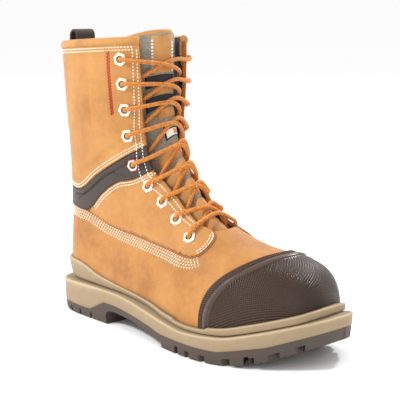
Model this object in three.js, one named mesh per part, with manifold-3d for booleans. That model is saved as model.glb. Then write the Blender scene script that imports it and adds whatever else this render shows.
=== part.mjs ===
// Safety work boot for the right foot, empty, standing on its sole.
// Millimetres. +X runs from heel to toe, +Y to the arch side, -Y to the outer side, +Z up.
// The origin is on the floor under the middle of the boot's bounding box.
import * as THREE from 'three';
import { mergeVertices } from 'three/addons/utils/BufferGeometryUtils.js';
import Module from 'manifold-3d';

const wasm = await Module();
wasm.setup();

// Driving sizes
const SOLE_LENGTH = 307;
const BALL_WIDTH = 118;
const INSTEP_HEIGHT = 150;
const COLLAR_HEIGHT = 251;
const SHAFT_DEPTH = 130;
const SHAFT_WIDTH = 92;
const LEATHER = 2.2;
const QUARTER_STEP = 1.2;
const CAP_FIELD = 2.4;
const CAP_BORDER = 3.2;
const BINDING = 1.5;
const BAND = 1.4;
const COLLAR_BAND = 7;
const COLLAR_OUT = 0.8;
const COLLAR_IN = 4;
const TONGUE_THICKNESS = 6.5;
const TONGUE_RISE = 6;
const INSOLE_THICKNESS = 4;
const LUG_DEPTH = 5;
const EYELET_RADIUS = 5.2;
const EYELET_BORE = 2.7;
const EYELET_BARREL = 3.3;
const EYELET_FLANGE = 1.1;
const LACE_RADIUS = 2.1;
const LACE_SIDES = 4;
const LOOP_WIDTH = 22;
const LOOP_THICKNESS = 1.8;
const LOOP_RISE = 12;
const GAP = 0.32;

// Sections of the last. Each is an egg-shaped ring between a bottom (or back) point and a top (or front) point.
// bottomX, bottomZ, topX, topZ, centre, outer half width, inner half width, level of the widest place,
// roundness below it, roundness above it.
// Foot rows: x in SOLE_LENGTH, z in INSTEP_HEIGHT, y in BALL_WIDTH.
const FOOT_ROWS = [
  [0.958, 0.247, 0.958, 0.313, 0.153, 0.051, 0.051, 0.50, 2.0, 2.0],
  [0.951, 0.187, 0.951, 0.380, 0.153, 0.127, 0.119, 0.45, 3.0, 2.2],
  [0.935, 0.133, 0.938, 0.453, 0.144, 0.220, 0.203, 0.42, 3.0, 2.3],
  [0.902, 0.087, 0.909, 0.507, 0.127, 0.297, 0.288, 0.40, 3.0, 2.4],
  [0.860, 0.053, 0.870, 0.540, 0.102, 0.356, 0.347, 0.38, 3.0, 2.4],
  [0.805, 0.033, 0.814, 0.567, 0.076, 0.407, 0.390, 0.36, 3.0, 2.4],
  [0.736, 0.027, 0.749, 0.593, 0.042, 0.432, 0.407, 0.35, 3.0, 2.2],
  [0.651, 0.027, 0.678, 0.647, 0.017, 0.415, 0.390, 0.33, 3.0, 2.0],
  [0.557, 0.047, 0.619, 0.720, 0.000, 0.390, 0.335, 0.31, 2.5, 1.9],
  [0.456, 0.067, 0.573, 0.813, 0.000, 0.347, 0.300, 0.30, 2.3, 1.8],
  [0.345, 0.080, 0.531, 0.913, 0.000, 0.331, 0.300, 0.29, 2.3, 1.8],
  [0.221, 0.087, 0.498, 1.000, 0.000, 0.322, 0.312, 0.29, 2.6, 1.8],
  [0.098, 0.093, 0.476, 1.087, 0.000, 0.314, 0.314, 0.30, 2.8, 1.8],
];
// Shaft rows: x in SHAFT_DEPTH, z in COLLAR_HEIGHT, y in SHAFT_WIDTH. The last row is above the collar.
const SHAFT_ROWS = [
  [0.077, 0.135, 1.085, 0.697, 0, 0.402, 0.402, 0.34, 2.5, 1.9],
  [0.054, 0.247, 1.054, 0.745, 0, 0.413, 0.413, 0.38, 2.2, 2.0],
  [0.069, 0.378, 1.031, 0.793, 0, 0.424, 0.424, 0.42, 2.1, 2.0],
  [0.069, 0.510, 1.015, 0.837, 0, 0.446, 0.446, 0.45, 2.1, 2.1],
  [0.062, 0.637, 1.008, 0.884, 0, 0.467, 0.467, 0.47, 2.1, 2.1],
  [0.046, 0.769, 1.000, 0.936, 0, 0.489, 0.489, 0.48, 2.1, 2.1],
  [0.031, 0.892, 1.000, 0.984, 0, 0.500, 0.500, 0.48, 2.1, 2.1],
  [0.015, 1.000, 1.000, 1.028, 0, 0.500, 0.500, 0.48, 2.1, 2.1],
  [0.008, 1.100, 1.000, 1.128, 0, 0.500, 0.500, 0.48, 2.1, 2.1],
];
// Where the rings of a form are taken, counted in rows
const RING_STOPS = [0, 1, 2, 3, 4, 5, 6, 7, 7.7, 8.5, 9.5, 10.7, 11.8, 12.5, 13.3, 14.4, 16, 18, 20, 21];
const AROUND = 20;

// Outline of the sole: x in SOLE_LENGTH, outer y and inner y in BALL_WIDTH
const OUTLINE_ROWS = [
  [0.000, 0.075, 0.075],
  [0.008, 0.150, 0.145],
  [0.035, 0.262, 0.260],
  [0.085, 0.330, 0.335],
  [0.150, 0.355, 0.365],
  [0.230, 0.362, 0.355],
  [0.320, 0.370, 0.325],
  [0.410, 0.388, 0.302],
  [0.500, 0.425, 0.322],
  [0.590, 0.458, 0.390],
  [0.670, 0.475, 0.467],
  [0.740, 0.462, 0.515],
  [0.810, 0.405, 0.538],
  [0.875, 0.318, 0.530],
  [0.930, 0.205, 0.487],
  [0.970, 0.078, 0.410],
  [0.993, -0.045, 0.305],
  [1.000, -0.100, 0.250],
];
const SOLE_STATIONS = [
  0, 0.008, 0.035, 0.085, 0.15, 0.205, 0.24, 0.275, 0.33, 0.38, 0.43, 0.48, 0.52, 0.56, 0.6,
  0.65, 0.7, 0.74, 0.78, 0.82, 0.86, 0.9, 0.93, 0.955, 0.975, 0.993, 1,
];

// Heights along the sole: x in SOLE_LENGTH, z in millimetres
const TREAD_LINE = [[0, 1.5], [0.03, 0], [0.78, 0], [0.84, 2.2], [0.9, 7], [1, 20]];
const COLOUR_LINE = [
  [0, 9.5], [0.1, 9.5], [0.205, 9.5], [0.275, 20], [0.33, 20], [0.5, 15], [0.56, 12], [0.78, 11.5], [0.9, 19.5], [1, 31],
];
const SIDE_LINE = [
  [0, 29], [0.1, 31], [0.2, 32], [0.35, 31.5], [0.5, 26.5], [0.65, 21], [0.8, 23.5], [0.9, 32], [1, 41],
];
const RIM_FOOT = [
  [-0.05, 25], [0.1, 27], [0.2, 28], [0.35, 27.5], [0.5, 22.5], [0.65, 17], [0.8, 19.5], [0.9, 28], [1.05, 41],
];
const RIM_LINE = [
  [-0.05, 51], [0.06, 50.5], [0.12, 51], [0.17, 49], [0.24, 42], [0.35, 37], [0.5, 31.5], [0.65, 26.5], [0.7, 27],
  [0.8, 30.5], [0.9, 39], [1, 48], [1.05, 51],
];
const BED_LINE = [
  [-0.05, 27], [0.25, 26.5], [0.5, 22], [0.64, 19], [0.76, 19], [0.84, 22], [0.92, 28], [1.05, 36],
];
const RIM_THICKNESS = [[0, 3.2], [0.4, 3.2], [0.6, 5], [0.75, 6], [1, 6.6]];
// Underside of the arch, from the heel's breast to the rear of the ball: x in SOLE_LENGTH, z in millimetres
const ARCH = [
  [0.285, -2], [0.282, 8], [0.29, 12.5], [0.32, 14], [0.4, 12.5], [0.48, 9.8], [0.53, 6.5], [0.555, -2],
];

// Side views, x in SOLE_LENGTH and z in COLLAR_HEIGHT
const QUARTER = [
  [-0.08, 0.416], [0.1, 0.408], [0.19, 0.398], [0.29, 0.36], [0.41, 0.343], [0.525, 0.325], [0.62, 0.313],
  [0.652, 0.323], [0.667, 0.348], [0.662, 0.376], [0.62, 0.41], [0.612, 0.5], [0.55, 0.8], [0.55, 1.3], [-0.08, 1.3],
];
const OUTER_BAND = [
  [-0.06, 0.492], [0.09, 0.478], [0.165, 0.478], [0.24, 0.54], [0.32, 0.6], [0.385, 0.645], [0.46, 0.69],
  [0.5, 0.62], [0.41, 0.565], [0.36, 0.535], [0.31, 0.52], [0.255, 0.475], [0.19, 0.405], [0.1, 0.413], [-0.06, 0.425],
];
const INNER_BAND = [
  [-0.06, 0.475], [0.09, 0.47], [0.18, 0.487], [0.3, 0.55], [0.4, 0.615], [0.48, 0.665],
  [0.5, 0.63], [0.405, 0.575], [0.305, 0.512], [0.185, 0.45], [0.09, 0.432], [-0.06, 0.438],
];
const CAP_EDGE = [
  [0.716, 0.04], [0.718, 0.163], [0.731, 0.2], [0.753, 0.247], [0.792, 0.29], [0.826, 0.32], [0.84, 0.35], [0.85, 0.45],
];
const TONGUE_SIDE = [
  [0.6, 0.3], [0.66, 0.36], [0.7, 0.5], [0.56, 0.68], [0.52, 0.8], [0.52, 1.3], [0.31, 1.3], [0.315, 0.8],
  [0.335, 0.66], [0.385, 0.56], [0.455, 0.46], [0.53, 0.37],
];
// Throat: row of the last, half width in BALL_WIDTH
const THROAT = [
  [7.3, 0.03], [7.45, 0.1], [7.75, 0.145], [8.2, 0.155], [9, 0.153], [10, 0.153], [11, 0.157], [12, 0.168],
  [13, 0.178], [14, 0.187], [15, 0.195], [16, 0.203], [17, 0.21], [18, 0.216], [19, 0.22], [20, 0.225], [21, 0.225],
];
const THROAT_OUT = 16;
const THROAT_IN = 34;
// Eyelets from the top down: row of the last, angle from its front line in degrees
const EYELETS = [
  [18.75, 52], [17.45, 52], [16.1, 52], [14.75, 51], [13.2, 48], [11.65, 42], [10.4, 40.5], [9.3, 40], [8.15, 39],
];

const COLOURS = {
  leather: 0xd39a52,
  rubber: 0x51443d,
  midsole: 0xb7a382,
  cap: 0x463932,
  binding: 0x2e2622,
  band: 0x4d4744,
  tongue: 0xa79b8b,
  insole: 0x7b7264,
  webbing: 0x4a342b,
  eyelet: 0xe9e0c6,
  lace: 0xc9772f,
};

function lineAt(line, x) {
  const last = line.length - 1;
  let i = 0;
  while (i < last - 1 && line[i + 1][0] < x) i += 1;
  const [x0, z0] = line[i];
  const [x1, z1] = line[i + 1];
  const t = THREE.MathUtils.clamp((x - x0) / (x1 - x0), 0, 1);
  return z0 + (z1 - z0) * t;
}

function smoothRow(rows, u) {
  const last = rows.length - 1;
  const i = Math.min(Math.max(Math.floor(u), 0), last - 1);
  const t = u - i;
  const b = rows[i];
  const c = rows[i + 1];
  const a = i > 0 ? rows[i - 1] : b.map((v, k) => 2 * v - c[k]);
  const d = i < last - 1 ? rows[i + 2] : c.map((v, k) => 2 * v - b[k]);
  return b.map((v, k) => {
    const linear = c[k] - a[k];
    const square = 2 * a[k] - 5 * v + 4 * c[k] - d[k];
    const cube = 3 * v - a[k] - 3 * c[k] + d[k];
    return 0.5 * (2 * v + linear * t + square * t * t + cube * t * t * t);
  });
}

function sizedRow(row, x, z, y) {
  const [bottomX, bottomZ, topX, topZ, centre, outer, inner, ...shape] = row;
  return [bottomX * x, bottomZ * z, topX * x, topZ * z, centre * y, outer * y, inner * y, ...shape];
}

const ROWS = [
  ...FOOT_ROWS.map((row) => sizedRow(row, SOLE_LENGTH, INSTEP_HEIGHT, BALL_WIDTH)),
  ...SHAFT_ROWS.map((row) => sizedRow(row, SHAFT_DEPTH, COLLAR_HEIGHT, SHAFT_WIDTH)),
];
const LAST_ROW = ROWS.length - 1;

// A point of the last: u counts rows from the toe up to the shaft, angle starts on the front line
function lastPoint(u, angle) {
  const [bottomX, bottomZ, topX, topZ, centre, outer, inner, widest, low, high] = smoothRow(ROWS, u);
  const cos = Math.cos(angle);
  const sin = Math.sin(angle);
  const round = 2 / (cos >= 0 ? high : low);
  const side = sin > 0 ? inner : outer;
  const y = centre + Math.sign(sin) * side * Math.abs(sin) ** round;
  const rise = Math.abs(cos) ** round;
  const t = cos >= 0 ? widest + (1 - widest) * rise : widest - widest * rise;
  return new THREE.Vector3(bottomX + (topX - bottomX) * t, y, bottomZ + (topZ - bottomZ) * t);
}

function lastNormal(u, angle) {
  const step = 0.02;
  const before = Math.max(u - step, 0);
  const after = Math.min(u + step, LAST_ROW);
  const round = lastPoint(u, angle + step).sub(lastPoint(u, angle - step));
  const along = lastPoint(after, angle).sub(lastPoint(before, angle));
  return round.cross(along).normalize();
}

function offsetPoint(u, angle, offset) {
  const point = lastPoint(u, angle);
  const amount = typeof offset === 'function' ? offset(point, angle) : offset;
  return point.addScaledVector(lastNormal(u, angle), amount);
}

function toSolid(geometry) {
  const bare = geometry.clone();
  bare.deleteAttribute('normal');
  bare.deleteAttribute('uv');
  const merged = mergeVertices(bare, 1e-3);
  const mesh = new wasm.Mesh({
    numProp: 3,
    vertProperties: new Float32Array(merged.getAttribute('position').array),
    triVerts: new Uint32Array(merged.getIndex().array),
  });
  return new wasm.Manifold(mesh);
}

function toGeometry(solid) {
  const mesh = solid.getMesh();
  const geometry = new THREE.BufferGeometry();
  geometry.setAttribute('position', new THREE.BufferAttribute(mesh.vertProperties, 3));
  geometry.setIndex(new THREE.BufferAttribute(mesh.triVerts, 1));
  geometry.computeVertexNormals();
  return geometry;
}

// A closed cylinder whose rings are moved to new places. place(j, i) gives the point of ring j, step i.
function bentCylinder(rings, around, place) {
  const geometry = new THREE.CylinderGeometry(1, 1, 1, around, rings - 1);
  const position = geometry.getAttribute('position');
  const centres = [0, rings - 1].map((j) => {
    const sum = new THREE.Vector3();
    for (let i = 0; i < around; i += 1) sum.add(place(j, i));
    return sum.divideScalar(around);
  });
  for (let k = 0; k < position.count; k += 1) {
    const x = position.getX(k);
    const z = position.getZ(k);
    const j = Math.round((position.getY(k) + 0.5) * (rings - 1));
    const turn = Math.atan2(x, z) / (2 * Math.PI);
    const i = Math.round((turn + 1) * around) % around;
    const onRing = Math.hypot(x, z) > 0.5;
    const point = onRing ? place(j, i) : centres[j === 0 ? 0 : 1];
    position.setXYZ(k, point.x, point.y, point.z);
  }
  return toSolid(geometry);
}

// The last grown or shrunk by an offset
function form(offset) {
  return bentCylinder(RING_STOPS.length, AROUND, (j, i) => {
    const angle = (i / AROUND) * 2 * Math.PI;
    return offsetPoint(RING_STOPS[j], angle, offset);
  });
}

// A side view pushed across the boot, from y0 to y1
function sidePrism(points, y0, y1) {
  const shape = new THREE.Shape(points.map(([x, z]) => new THREE.Vector2(x, z)));
  const geometry = new THREE.ExtrudeGeometry(shape, { depth: y1 - y0, bevelEnabled: false });
  geometry.rotateX(Math.PI / 2);
  geometry.translate(0, y1, 0);
  return toSolid(geometry);
}

const inSide = (points) => points.map(([x, z]) => [x * SOLE_LENGTH, z * COLLAR_HEIGHT]);
const FAR = 400;
const WIDE = 120;

function aboveLine(line, rise) {
  const points = line.map(([x, z]) => [x * SOLE_LENGTH, z + rise]);
  const first = points[0];
  const last = points[points.length - 1];
  return sidePrism([...points, [last[0], FAR], [first[0], FAR]], -WIDE, WIDE);
}

// Everything above a plane parallel to the collar
function aboveCollar(drop) {
  const back = COLLAR_HEIGHT - drop;
  const slope = 0.028 * COLLAR_HEIGHT;
  const points = [[-60, back - slope * 0.5], [SHAFT_DEPTH + 60, back + slope * 1.5], [SHAFT_DEPTH + 60, FAR], [-60, FAR]];
  return sidePrism(points, -WIDE, WIDE);
}

// Points of a closed outline moved sideways; a positive distance moves to the left of the way it runs
function movedOutline(points, distance) {
  const count = points.length;
  return points.map((point, i) => {
    const before = new THREE.Vector2(...points[(i + count - 1) % count]);
    const here = new THREE.Vector2(...point);
    const after = new THREE.Vector2(...points[(i + 1) % count]);
    const a = here.clone().sub(before).normalize();
    const b = after.sub(here).normalize();
    const normal = new THREE.Vector2(-a.y - b.y, a.x + b.x).normalize();
    const stretch = 1 / Math.max(normal.dot(new THREE.Vector2(-a.y, a.x)), 0.5);
    return here.addScaledVector(normal, distance * stretch).toArray();
  });
}

// Sole: half outlines by x share, moved inwards by an inset
function outlineY(x, column) {
  let low = 0;
  let high = OUTLINE_ROWS.length - 1;
  for (let k = 0; k < 30; k += 1) {
    const middle = (low + high) / 2;
    if (smoothRow(OUTLINE_ROWS, middle)[0] < x) low = middle;
    else high = middle;
  }
  return smoothRow(OUTLINE_ROWS, low)[column] * BALL_WIDTH;
}

function edgePoint(station, side, inset) {
  const column = side < 0 ? 1 : 2;
  const x = SOLE_STATIONS[station];
  const at = (share) => new THREE.Vector2(share * SOLE_LENGTH, side * outlineY(share, column));
  const before = at(Math.max(x - 0.006, 0));
  const after = at(Math.min(x + 0.006, 1));
  const along = after.clone().sub(before).normalize();
  const inward = new THREE.Vector2(-along.y, along.x).multiplyScalar(-side * inset);
  return at(x).add(inward);
}

// A sole layer: its levels run up the side, each an inset and a height along the boot
function soleLayer(levels) {
  const count = levels.length;
  return bentCylinder(SOLE_STATIONS.length, 2 * count, (j, i) => {
    const station = SOLE_STATIONS.length - 1 - j;
    const side = i < count ? 1 : -1;
    const level = side > 0 ? levels[count - 1 - i] : levels[i - count];
    const point = edgePoint(station, side, level.inset);
    const height = lineAt(level.line, SOLE_STATIONS[station]) + (level.rise ?? 0);
    return new THREE.Vector3(point.x, point.y, height);
  });
}

function blockAt(length, width, x, y, turn) {
  const geometry = new THREE.BoxGeometry(length, width, 80);
  geometry.rotateZ(THREE.MathUtils.degToRad(turn));
  geometry.translate(x * SOLE_LENGTH, y * BALL_WIDTH, 0);
  return toSolid(geometry);
}

const joined = (solids) => solids.reduce((sum, solid) => sum.add(solid));

// Grooves of the tread: length, width, x in SOLE_LENGTH, y in BALL_WIDTH, turn in degrees
const GROOVES = [
  [118, 5.5, 0.735, 0.02, 33], [118, 5.5, 0.735, 0.02, -33],
  [64, 5, 0.65, 0.285, 8], [52, 5, 0.84, 0.33, -4], [70, 5, 0.64, -0.275, -6], [54, 5, 0.835, -0.2, 26],
  [30, 5.5, 0.6, 0.45, 80], [30, 5.5, 0.665, 0.45, 84], [30, 5.5, 0.735, 0.45, 88], [30, 5.5, 0.8, 0.45, 94],
  [30, 5.5, 0.865, 0.43, 104],
  [30, 5.5, 0.6, -0.45, 102], [30, 5.5, 0.665, -0.45, 96], [30, 5.5, 0.735, -0.44, 90], [30, 5.5, 0.8, -0.4, 80],
  [30, 5.5, 0.865, -0.32, 66], [30, 5.5, 0.92, -0.2, 50], [30, 5.5, 0.925, 0.42, 122],
  [34, 5, 0.915, 0.14, 84], [22, 5, 0.955, 0.17, 0], [26, 4, 0.735, 0.2, 0], [26, 4, 0.735, -0.15, 0],
  [40, 5, 0.15, 0, 0],
  [18, 4, 0.05, -0.3, 62], [18, 4, 0.095, -0.34, 82], [18, 4, 0.145, -0.37, 90], [18, 4, 0.195, -0.37, 92],
  [18, 4, 0.05, 0.3, -62], [18, 4, 0.095, 0.34, -82], [18, 4, 0.145, 0.37, -90], [18, 4, 0.195, 0.37, -92],
];

function makeOutsole() {
  const levels = [
    { inset: 4, line: TREAD_LINE },
    { inset: 1.2, line: TREAD_LINE, rise: 5.5 },
    { inset: 1, line: COLOUR_LINE },
  ];
  const layer = soleLayer([
    { inset: -3, line: TREAD_LINE, rise: -8 },
    { inset: -3, line: TREAD_LINE, rise: LUG_DEPTH },
  ]);
  const arch = ARCH.map(([x, z]) => [x * SOLE_LENGTH, z]);
  const grooves = joined(GROOVES.map((row) => blockAt(...row)));
  return soleLayer(levels).subtract(sidePrism(arch, -WIDE, WIDE)).subtract(grooves.intersect(layer));
}

function makeMidsole() {
  const body = soleLayer([
    { inset: 1, line: COLOUR_LINE, rise: GAP },
    { inset: 0, line: SIDE_LINE, rise: -3 },
    { inset: 0.6, line: SIDE_LINE },
    { inset: 3.2, line: SIDE_LINE, rise: 0.8 },
  ]);
  const thickness = (point) => lineAt(RIM_THICKNESS, point.x / SOLE_LENGTH);
  const rim = form(thickness).subtract(aboveLine(RIM_LINE, 0)).intersect(aboveLine(RIM_FOOT, 0));
  return body.add(rim).subtract(form(GAP).intersect(aboveLine(BED_LINE, 0)));
}

function makeThroat() {
  const rings = THROAT.length;
  const rowAt = (u) => smoothRow(ROWS, u);
  return bentCylinder(rings, 4, (j, i) => {
    const [u, share] = THROAT[j];
    const [, , x, z] = rowAt(u);
    const [, , x0, z0] = rowAt(Math.max(u - 0.3, 0));
    const [, , x1, z1] = rowAt(Math.min(u + 0.3, LAST_ROW));
    const out = new THREE.Vector2(z1 - z0, x0 - x1).normalize();
    const side = i === 0 || i === 1 ? 1 : -1;
    const away = i === 0 || i === 3 ? THROAT_OUT : -THROAT_IN;
    return new THREE.Vector3(x + out.x * away, side * share * BALL_WIDTH, z + out.y * away);
  });
}

// The place of an eyelet on the quarter: its centre on the leather, the way out, and the way to the throat
function eyeletPlace(index, side) {
  const [u, degrees] = EYELETS[index];
  const angle = side * THREE.MathUtils.degToRad(degrees);
  const out = lastNormal(u, angle);
  const centre = lastPoint(u, angle).addScaledVector(out, QUARTER_STEP);
  return { centre, out };
}

function facing(geometry, { centre, out }, rise) {
  const turn = new THREE.Quaternion().setFromUnitVectors(new THREE.Vector3(0, 1, 0), out);
  geometry.applyQuaternion(turn);
  const at = centre.clone().addScaledVector(out, rise);
  geometry.translate(at.x, at.y, at.z);
  return geometry;
}

function makeEyelet(place) {
  const base = 2 * GAP + BAND - QUARTER_STEP;
  const profile = [
    [EYELET_BORE, -LEATHER - QUARTER_STEP - 0.4],
    [EYELET_BARREL, -LEATHER - QUARTER_STEP - 0.4],
    [EYELET_BARREL, base],
    [EYELET_RADIUS, base],
    [EYELET_RADIUS, base + EYELET_FLANGE],
    [EYELET_BORE, base + EYELET_FLANGE],
    [EYELET_BORE, -LEATHER - QUARTER_STEP - 0.4],
  ];
  const geometry = new THREE.LatheGeometry(profile.map(([r, y]) => new THREE.Vector2(r, y)), 6);
  return toSolid(facing(geometry, place, 0));
}

const SIDES = [-1, 1];
const PLACES = SIDES.map((side) => EYELETS.map((row, index) => eyeletPlace(index, side)));
const placeOf = (index, side) => PLACES[side < 0 ? 0 : 1][index];

function makeHoles() {
  const holes = PLACES.flat().map((place) => {
    const radius = EYELET_BARREL + 0.42;
    return toSolid(facing(new THREE.CylinderGeometry(radius, radius, 14, 6), place, 0));
  });
  return joined(holes);
}

const throat = makeThroat();
const holes = makeHoles();

function makeQuarters() {
  const outerGap = sidePrism(movedOutline(inSide(OUTER_BAND), GAP), -WIDE, 0);
  const innerGap = sidePrism(movedOutline(inSide(INNER_BAND), GAP), 0, WIDE);
  return sidePrism(inSide(QUARTER), -WIDE, WIDE).subtract(outerGap).subtract(innerGap);
}

function makeUpper() {
  return form(0)
    .add(form(QUARTER_STEP).intersect(makeQuarters()))
    .subtract(form(-LEATHER))
    .subtract(throat)
    .subtract(holes)
    .subtract(aboveCollar(COLLAR_BAND))
    .intersect(aboveLine(BED_LINE, GAP));
}

function makeBand(outline, y0, y1) {
  return form(BAND).subtract(form(GAP)).intersect(sidePrism(inSide(outline), y0, y1)).subtract(throat).subtract(holes);
}

function capPrism(shift) {
  const edge = inSide(CAP_EDGE).map(([x, z], k) => [x - shift, z + (k > 1 ? shift * 0.55 : 0)]);
  return sidePrism([...edge, [SOLE_LENGTH + 40, 113], [SOLE_LENGTH + 40, 10]], -WIDE, WIDE);
}

function makeToeCap() {
  const field = form(CAP_FIELD);
  const border = form(CAP_BORDER).subtract(capPrism(-6));
  return field.add(border).subtract(form(GAP)).intersect(capPrism(0)).intersect(aboveLine(RIM_LINE, GAP));
}

function makeCapEdge() {
  const strip = capPrism(5).subtract(capPrism(GAP));
  return form(BINDING).subtract(form(GAP)).intersect(strip).intersect(aboveLine(RIM_LINE, GAP));
}

function makeCollar() {
  const ring = form(COLLAR_OUT).subtract(form(-COLLAR_IN));
  return ring.intersect(aboveCollar(COLLAR_BAND - GAP)).subtract(aboveCollar(0)).subtract(throat);
}

function tongueOffset(extra) {
  return (point, angle) => {
    const turn = Math.abs(Math.atan2(Math.sin(angle), Math.cos(angle)));
    const edge = THREE.MathUtils.smoothstep(turn, 0.1, 0.4);
    return -LEATHER - 1.7 - 5.3 * edge - extra;
  };
}

function makeTongue() {
  const pad = form(tongueOffset(0)).subtract(form(tongueOffset(TONGUE_THICKNESS)));
  const side = sidePrism(inSide(TONGUE_SIDE), -0.26 * BALL_WIDTH, 0.26 * BALL_WIDTH);
  return pad.intersect(side).subtract(aboveCollar(-TONGUE_RISE));
}

function makeInsole() {
  const under = aboveLine(BED_LINE, GAP * 2);
  const over = aboveLine(BED_LINE, GAP * 2 + INSOLE_THICKNESS);
  return form(-LEATHER - GAP).intersect(under).subtract(over);
}

function makeLoop() {
  const backX = (z) => {
    const share = (z / COLLAR_HEIGHT - 0.892) / 0.108;
    return (0.031 - 0.016 * share) * SHAFT_DEPTH;
  };
  const low = COLLAR_HEIGHT - 30;
  const top = COLLAR_HEIGHT + LOOP_RISE;
  const outward = QUARTER_STEP + 2 * GAP + LOOP_THICKNESS / 2;
  const inward = COLLAR_IN + 2.4 + LOOP_THICKNESS / 2;
  const points = [
    [backX(low) - outward, low],
    [backX(COLLAR_HEIGHT) - outward, COLLAR_HEIGHT + 2],
    [backX(COLLAR_HEIGHT) - outward + 1, top - 3.5],
    [backX(COLLAR_HEIGHT) + 2.4, top - LOOP_THICKNESS / 2],
    [backX(COLLAR_HEIGHT) + inward - 1, top - 3.5],
    [backX(COLLAR_HEIGHT) + inward, COLLAR_HEIGHT + 2],
    [backX(low) + inward, low],
  ];
  const outer = [];
  const inner = [];
  points.forEach(([x, z], i) => {
    const [x0, z0] = points[Math.max(i - 1, 0)];
    const [x1, z1] = points[Math.min(i + 1, points.length - 1)];
    const way = new THREE.Vector2(x1 - x0, z1 - z0).normalize();
    const half = LOOP_THICKNESS / 2;
    outer.push([x - way.y * half, z + way.x * half]);
    inner.unshift([x + way.y * half, z - way.x * half]);
  });
  return sidePrism([...outer, ...inner], -LOOP_WIDTH / 2, LOOP_WIDTH / 2);
}

function tube(points, steps) {
  const shape = new THREE.Shape();
  for (let i = 0; i < LACE_SIDES; i += 1) {
    const angle = (i / LACE_SIDES) * 2 * Math.PI;
    const [x, y] = [Math.cos(angle) * LACE_RADIUS, Math.sin(angle) * LACE_RADIUS];
    if (i === 0) shape.moveTo(x, y);
    else shape.lineTo(x, y);
  }
  const path = new THREE.CatmullRomCurve3(points, false, 'centripetal');
  return toSolid(new THREE.ExtrudeGeometry(shape, { steps, bevelEnabled: false, extrudePath: path }));
}

const OVER_EYELET = 5.4;
const UNDER_EYELET = -LEATHER - QUARTER_STEP - 3.5;
const OVER_FLAP = QUARTER_STEP + LACE_RADIUS + 2;
const UNDER_FLAP = -LEATHER - LACE_RADIUS - 0.9;

// A point near the edge of a flap; past moves it from the edge onto the flap
function throatEdge(index, side, offset, past) {
  const [u] = EYELETS[index];
  const reach = lineAt(THROAT, u) * BALL_WIDTH + past;
  let angle = 0;
  while (angle < 1.3 && Math.abs(lastPoint(u, side * angle).y) < reach) angle += 0.01;
  return offsetPoint(u, side * angle, offset);
}

// One strand: out of an eyelet, over its flap, across the tongue and in under the other flap
function strand(index, side, lift) {
  const from = placeOf(index, side);
  const to = placeOf(index + 1, -side);
  const [u] = EYELETS[index];
  const [next] = EYELETS[index + 1];
  const start = from.centre.clone().addScaledVector(from.out, OVER_EYELET);
  const flap = throatEdge(index, side, OVER_FLAP, 0);
  const middle = offsetPoint((u + next) / 2, 0, lift);
  const under = throatEdge(index + 1, -side, UNDER_FLAP, -1.5);
  const end = to.centre.clone().addScaledVector(to.out, UNDER_EYELET);
  return tube([start, flap, middle, under, end], 7);
}

function bottomBar() {
  const last = EYELETS.length - 1;
  const ends = SIDES.map((side) => {
    const place = placeOf(last, side);
    return place.centre.clone().addScaledVector(place.out, OVER_EYELET);
  });
  const flaps = SIDES.map((side) => throatEdge(last, side, OVER_FLAP, 0));
  const middle = offsetPoint(EYELETS[last][0], 0, 4.2);
  return tube([ends[0], flaps[0], middle, flaps[1], ends[1]], 9);
}

function plug(index, side) {
  const place = placeOf(index, side);
  const bottom = index === 0 ? -1 : UNDER_EYELET;
  const top = OVER_EYELET;
  const geometry = new THREE.CylinderGeometry(LACE_RADIUS, LACE_RADIUS, top - bottom, LACE_SIDES);
  return toSolid(facing(geometry, place, (top + bottom) / 2));
}

function makeLace() {
  const pieces = [bottomBar()];
  SIDES.forEach((side) => {
    EYELETS.forEach((row, index) => {
      pieces.push(plug(index, side));
      if (index < EYELETS.length - 1) pieces.push(strand(index, side, side < 0 ? 5.4 : 0.9));
    });
  });
  return joined(pieces);
}

const boot = new THREE.Group();

function addPiece(name, solid, color, roughness, metalness = 0) {
  const material = new THREE.MeshStandardMaterial({ color, roughness, metalness });
  const mesh = new THREE.Mesh(toGeometry(solid), material);
  mesh.name = name;
  boot.add(mesh);
}

addPiece('outsole', makeOutsole(), COLOURS.rubber, 0.8);
addPiece('midsole', makeMidsole(), COLOURS.midsole, 0.75);
addPiece('insole', makeInsole(), COLOURS.insole, 0.95);
addPiece('upper', makeUpper(), COLOURS.leather, 0.85);
addPiece('toe_cap', makeToeCap(), COLOURS.cap, 0.45);
addPiece('toe_cap_edge', makeCapEdge(), COLOURS.binding, 0.7);
addPiece('ankle_band_lateral', makeBand(OUTER_BAND, -WIDE, -GAP / 2), COLOURS.band, 0.55);
addPiece('ankle_band_medial', makeBand(INNER_BAND, GAP / 2, WIDE), COLOURS.band, 0.55);
addPiece('collar', makeCollar(), COLOURS.leather, 0.85);
addPiece('tongue', makeTongue(), COLOURS.tongue, 0.95);
addPiece('pull_loop', makeLoop(), COLOURS.webbing, 0.9);
SIDES.forEach((side) => {
  EYELETS.forEach((row, index) => {
    const name = `eyelet_${side < 0 ? 'lateral' : 'medial'}_${index + 1}`;
    addPiece(name, makeEyelet(placeOf(index, side)), COLOURS.eyelet, 0.4, 0.3);
  });
});
addPiece('lace', makeLace(), COLOURS.lace, 0.85);

const box = new THREE.Box3().setFromObject(boot);
const middle = box.getCenter(new THREE.Vector3());
boot.position.set(-middle.x, -middle.y, -box.min.z);

export default boot;
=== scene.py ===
# Looks of the safety work boot: leather panels, stitches, moulded toe cap, tongue, laces and sole.
# Lengths are millimetres in the boot's own frame (heel at x = 0, floor at z = 0) until a mesh is made.
import math

import bmesh
import bpy
import numpy as np
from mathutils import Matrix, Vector
from mathutils.bvhtree import BVHTree
from mathutils.geometry import delaunay_2d_cdt


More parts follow.
